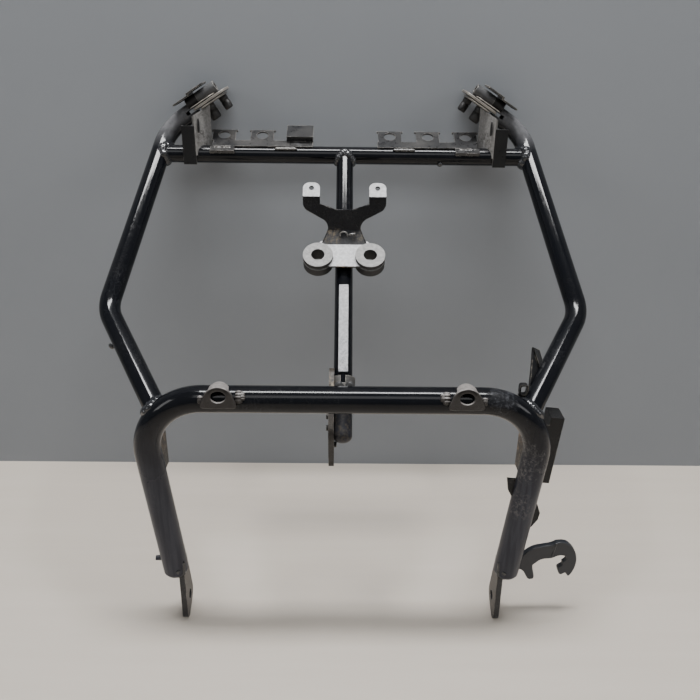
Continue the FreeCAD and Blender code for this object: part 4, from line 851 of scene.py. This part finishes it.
# Welds of the plates.  Strips: from X, to X and seed.  Toes of the hoop tabs: distance from the
# tab's middle, angles, size and seed; they follow the bar's round section.  Feet: the ends, the
# way outward, size and seed.
plateWelds = dict(
    strips=((129.0, 157.0, 21), (56.0, 82.0, 22)), stripPlace=(240.2, 449.2), stripSize=1.9,
    stripOutward=(0.0, -0.6, 0.8),
    toes=((-18.5, (10, 64), 3.3, 41), (-21.7, (22, 56), 2.6, 43), (17.5, (8, 42), 2.4, 45)),
    toePitch=9.0,
    feet=(((173.5, -21.5, 52.0), (175.6, -14.5, 36.8), (-0.6, -0.7, -0.3), 2.2, 51),
          ((168.6, -15.0, 60.0), (168.6, -17.6, 42.0), (-0.5, -0.8, 0.0), 1.6, 53)),
)
for side, sign in sides:
    beads = []
    back, height = plateWelds["stripPlace"]
    for low, high, seed in plateWelds["strips"]:
        beads.append(straightBead((sign * low, back, height), (sign * high, back, height),
                                  plateWelds["stripOutward"], plateWelds["stripSize"], seed + sign))
    makePiece(f"{side}StripBeads", beads, brightWeld)
    beads = []
    for away, angles, size, seed in plateWelds["toes"]:
        bar = (sign * (hoopTab["centre"][0] + away), -tubes["hoopForward"], tubes["hoopHeight"])
        beads.append(arcBead(bar, -toBack, upwards, tubes["hoopRadius"], angles, size, seed + sign,
                             plateWelds["toePitch"]))
    makePiece(f"{side}TabBeads", beads, tabPaint)
    beads = []
    for *points, size, seed in plateWelds["feet"]:
        beads.append(straightBead(*(onSide(sign, point) for point in points), size, seed + sign))
    makePiece(f"{side}FootBeads", beads, weldPaint)

# The bent foot of the riser: a sheet that swings forward towards the fold, (1 - rise)^1.6, and
# narrows with rise^0.7; its top sinks into the riser.
neckFoot = dict(
    fold=(152.2, 359.6), rise=19.0, swing=4.4, swingPower=1.6, halfWidth=(27.6, 17.6),
    narrowing=0.7, proud=0.3, sink=0.6, thickness=1.2,
    arc=dict(centre=(-0.6, 149.6, 371.0), up=(0.0, 0.25, 0.95), radius=4.0, angles=(-30, 210)),
    tail=((4.5, 149.9, 371.5), (12.5, 150.2, 372.5), (0.0, -0.85, 0.5)), tailBow=1.2,
    beadSize=1.3,
)
rise = np.linspace(0, 1, 14)[:, None]
wide, narrow = neckFoot["halfWidth"]
half = wide + (narrow - wide) * rise ** neckFoot["narrowing"]
front = neckFoot["fold"][0] - neckFoot["swing"] * (1 - rise) ** neckFoot["swingPower"]
front = front - neckFoot["proud"] + neckFoot["sink"] * rise ** 3
height = neckFoot["fold"][1] + neckFoot["rise"] * rise
across = np.concatenate([np.linspace(-1, 1, 21), np.linspace(1, -1, 21)])[None, :]
depth = np.concatenate([np.zeros(21), np.full(21, neckFoot["thickness"])])[None, :]
foot = np.stack(np.broadcast_arrays(across * half, front + depth, height), axis=2)
makePiece("bracketNeck", [(foot, False)], bracketPaintWithHighlight)
arc = neckFoot["arc"]
beads = [arcBead(arc["centre"], toRight, arc["up"], arc["radius"], arc["angles"],
                 neckFoot["beadSize"], 61),
         straightBead(*neckFoot["tail"], neckFoot["beadSize"], 62, neckFoot["tailBow"])]
makePiece("bracketBeads", beads, brightWeld)

# Mirror mounts.  Each stud is a barrel with a groove and a drawn-in end: shares or lengths along it,
# and how much less than its radius.  Each sheet runs from low to high along the slope.
mirrorMount = dict(
    edge=(176.57, 247.5, 489.36), slope=32.0, studSeat=-4.6,
    studs=dict(
        front=dict(reach=15.6, back=22.0, radius=6.6, length=18.0),
        rear=dict(reach=33.0, back=32.0, radius=5.3, length=16.0)),
    chamfer=0.4, groove=0.5, grooveAt=(0.3, 0.32, 0.4, 0.42),
    taper=((-1.6, 0.97), (-0.5, 0.86), (0.0, 0.7)),
    sheets=((0.5, 45.0, -1.9, 1.1), (-2.5, 30.0, 2.0, 3.4), (8.0, 40.0, -4.6, -2.7)),
    sheetDepth=42.0, sheetPower=0.35, sheetRim=(0.6, 0.5),
)


# A turned piece: rings of the profile's radii about an axis.
def turned(base, axis, profile):
    first = unit(np.cross(axis, toBack))
    second = np.cross(axis, first)
    turn = circle(48)
    ring = turn[:, :1] * first + turn[:, 1:] * second
    return np.stack([base + axis * along + ring * radius for along, radius in profile]), False


def studProfile(radius, length):
    groove, (start, floor, rise, end) = mirrorMount["groove"], mirrorMount["grooveAt"]
    return [(0.0, radius - mirrorMount["chamfer"]), (0.5, radius), (length * start, radius),
            (length * floor, radius - groove), (length * rise, radius - groove),
            (length * end, radius),
            *((length + back, radius * share) for back, share in mirrorMount["taper"])]


# One layer of the mount's plate: a squarish superellipse with broken edges.
def mirrorSheet(start, along, raised, low, high, bottom, top):
    middle, half = (low + high) / 2, (high - low) / 2
    deep = mirrorMount["sheetDepth"] / 2
    flat = squarer(circle(64), mirrorMount["sheetPower"]) * np.array([half, deep])
    inset, rim = mirrorMount["sheetRim"]
    rows = []
    for level, inset in ((bottom, inset), (bottom + rim, 0.0), (top - rim, 0.0), (top, inset)):
        edge = flat * (1 - inset / half) + np.array([middle, deep])
        rows.append(start + edge[:, :1] * along + edge[:, 1:] * toBack + raised * level)
    return np.stack(rows), False


mirrorSlope = math.radians(mirrorMount["slope"])
for side, sign in sides:
    along = onSide(sign, (-math.cos(mirrorSlope), 0.0, math.sin(mirrorSlope)))
    raised = onSide(sign, (math.sin(mirrorSlope), 0.0, math.cos(mirrorSlope)))
    start = onSide(sign, mirrorMount["edge"])
    for part, stud in mirrorMount["studs"].items():
        base = start + along * stud["reach"] + toBack * stud["back"]
        base = base + raised * mirrorMount["studSeat"]
        barrel = turned(base, -raised, studProfile(stud["radius"], stud["length"]))
        makePiece(f"{side}{part.capitalize()}Stud", [barrel], darkSteel,
                  replaces=[f"{side}_mirror_stud_{part}"])
    layers = [mirrorSheet(start, along, raised, *layer) for layer in mirrorMount["sheets"]]
    makePiece(f"{side}MirrorSheets", layers, dustySteel, smooth=False,
              replaces=[f"{side}_mirror_plate", f"{side}_mirror_backing"])
print("mirror mounts made")

# The slots in the gusset webs: dark ovals of painted shade that lie on the web's inner face.
gussetSlotShade = dict(
    corner=(172.98, 235.0, 474.0), slant=30.0, along=5.2, half=(1.5, 8.0), power=(0.8, 1.0),
    lift=2.75, rows=((0.8, 0.0), (1.0, 0.25), (1.0, 1.0)),
)
oval = squarer(circle(40), gussetSlotShade["power"]) * np.array(gussetSlotShade["half"])
slant = math.radians(gussetSlotShade["slant"])
for side, sign in sides:
    along = onSide(sign, (-math.sin(slant), math.cos(slant), 0.0))
    facing = onSide(sign, (-math.cos(slant), -math.sin(slant), 0.0))
    middle = onSide(sign, gussetSlotShade["corner"]) + along * gussetSlotShade["along"]
    middle = middle + facing * gussetSlotShade["lift"]
    rows = []
    for share, deep in gussetSlotShade["rows"]:
        flat = oval * share
        rows.append(middle + flat[:, :1] * along + flat[:, 1:] * upwards - facing * deep)
    makePiece(f"{side}WebSlotShade", [(np.stack(rows), False)], blackRubberAndShade)
print("small forms made")


# Plain cloudy colour; from its back the sheet is clear, so it hides nothing.
def stageMaterial(name, colours, stretch, rough):
    material, tree, shader, point = newMaterial(name)
    cloud = noise(tree, stretched(tree, point, stretch), 3.0, 6.0, 0.6)
    fill(tree, shader, {"Base Color": mixColour(tree, cloud, *colours), "Roughness": rough})
    clear = addNode(tree, "ShaderNodeBsdfTransparent").outputs["BSDF"]
    fromBehind = addNode(tree, "ShaderNodeNewGeometry").outputs["Backfacing"]
    sides = {0: fromBehind, 1: shader.outputs["BSDF"], 2: clear}
    either = addNode(tree, "ShaderNodeMixShader", sides)
    fill(tree, tree.nodes["Material Output"], dict(Surface=either.outputs["Shader"]))
    return material


# The stage, in metres: a pale floor and a wall behind the part.
stageLook = dict(
    floor=-0.0212, wall=0.2915, reach=3.0, floorRough=0.6, wallRough=0.9,
    floorColours=((0.56, 0.5, 0.43), (0.63, 0.57, 0.5)), floorStretch=(1.0, 14.0, 1.0),
    wallColours=((0.235, 0.25, 0.27), (0.275, 0.29, 0.31)), wallStretch=(1.0, 1.0, 1.0),
)
reach, floor, wall = (stageLook[key] for key in ("reach", "floor", "wall"))
stageSheets = dict(
    floor=[(-reach, -reach, floor), (reach, -reach, floor), (reach, reach, floor),
           (-reach, reach, floor)],
    wall=[(-reach, wall, floor), (reach, wall, floor), (reach, wall, reach), (-reach, wall, reach)],
)
for name, corners in stageSheets.items():
    mesh = bpy.data.meshes.new(f"{name}Sheet")
    mesh.from_pydata(corners, [], [(0, 1, 2, 3)])
    mesh.materials.append(stageMaterial(f"{name}Material", stageLook[f"{name}Colours"],
                                        stageLook[f"{name}Stretch"], stageLook[f"{name}Rough"]))
    addObject(f"{name}Sheet", mesh)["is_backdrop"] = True
print("stage made")

# Lamps: place, the height over the middle that they look at, size and power.
lamps = dict(
    overheadSoftbox=((0.0, 0.04, 2.2), 0.2, (1.3, 0.28), 58),
    frontSoftbox=((0.0, -1.3, 1.8), 0.3, (1.6, 0.7), 8),
    leftSoftbox=((-2.1, -0.9, 1.3), 0.25, (0.6, 1.0), 8),
    rightSoftbox=((2.1, -0.9, 1.3), 0.25, (0.6, 1.0), 8),
)
for name, (place, target, size, power) in lamps.items():
    data = bpy.data.lights.new(name, "AREA")
    data.shape = "RECTANGLE"
    data.size, data.size_y = size
    data.energy = power
    item = addObject(name, data)
    item.location = place
    towards = Vector((0.0, 0.0, target)) - Vector(place)
    item.rotation_euler = towards.to_track_quat("-Z", "Y").to_euler()
roomLook = dict(colour=(0.62, 0.66, 0.7), light=0.25, seen=0.62)
world = bpy.data.worlds.new("studioWorld")
bpy.context.scene.world = world
world.use_nodes = True
room = world.node_tree
seen = addNode(room, "ShaderNodeLightPath").outputs["Is Camera Ray"]
strength = mixFloat(room, seen, roomLook["light"], roomLook["seen"])
fill(room, room.nodes["Background"], dict(Color=roomLook["colour"], Strength=strength))
print("lights made")

cameraLook = dict(
    place=(0.0, -600.6, 576.8), heading=0.604, pitch=24.622, roll=0.741, lens=36.0, sensor=36.0)
cameraData = bpy.data.cameras.new("photoCamera")
cameraData.sensor_width = cameraLook["sensor"]
cameraData.lens = cameraLook["lens"]
camera = addObject("photoCamera", cameraData)
turn = Matrix.Rotation(-math.radians(cameraLook["heading"]), 4, "Z")
turn = turn @ Matrix.Rotation(math.radians(90 - cameraLook["pitch"]), 4, "X")
turn = turn @ Matrix.Rotation(math.radians(cameraLook["roll"]), 4, "Z")
camera.matrix_world = Matrix.Translation(Vector(cameraLook["place"]) * mm) @ turn
bpy.context.scene.camera = camera
print("camera placed")

corners = {"cad": cadBounds, "visual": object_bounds()}
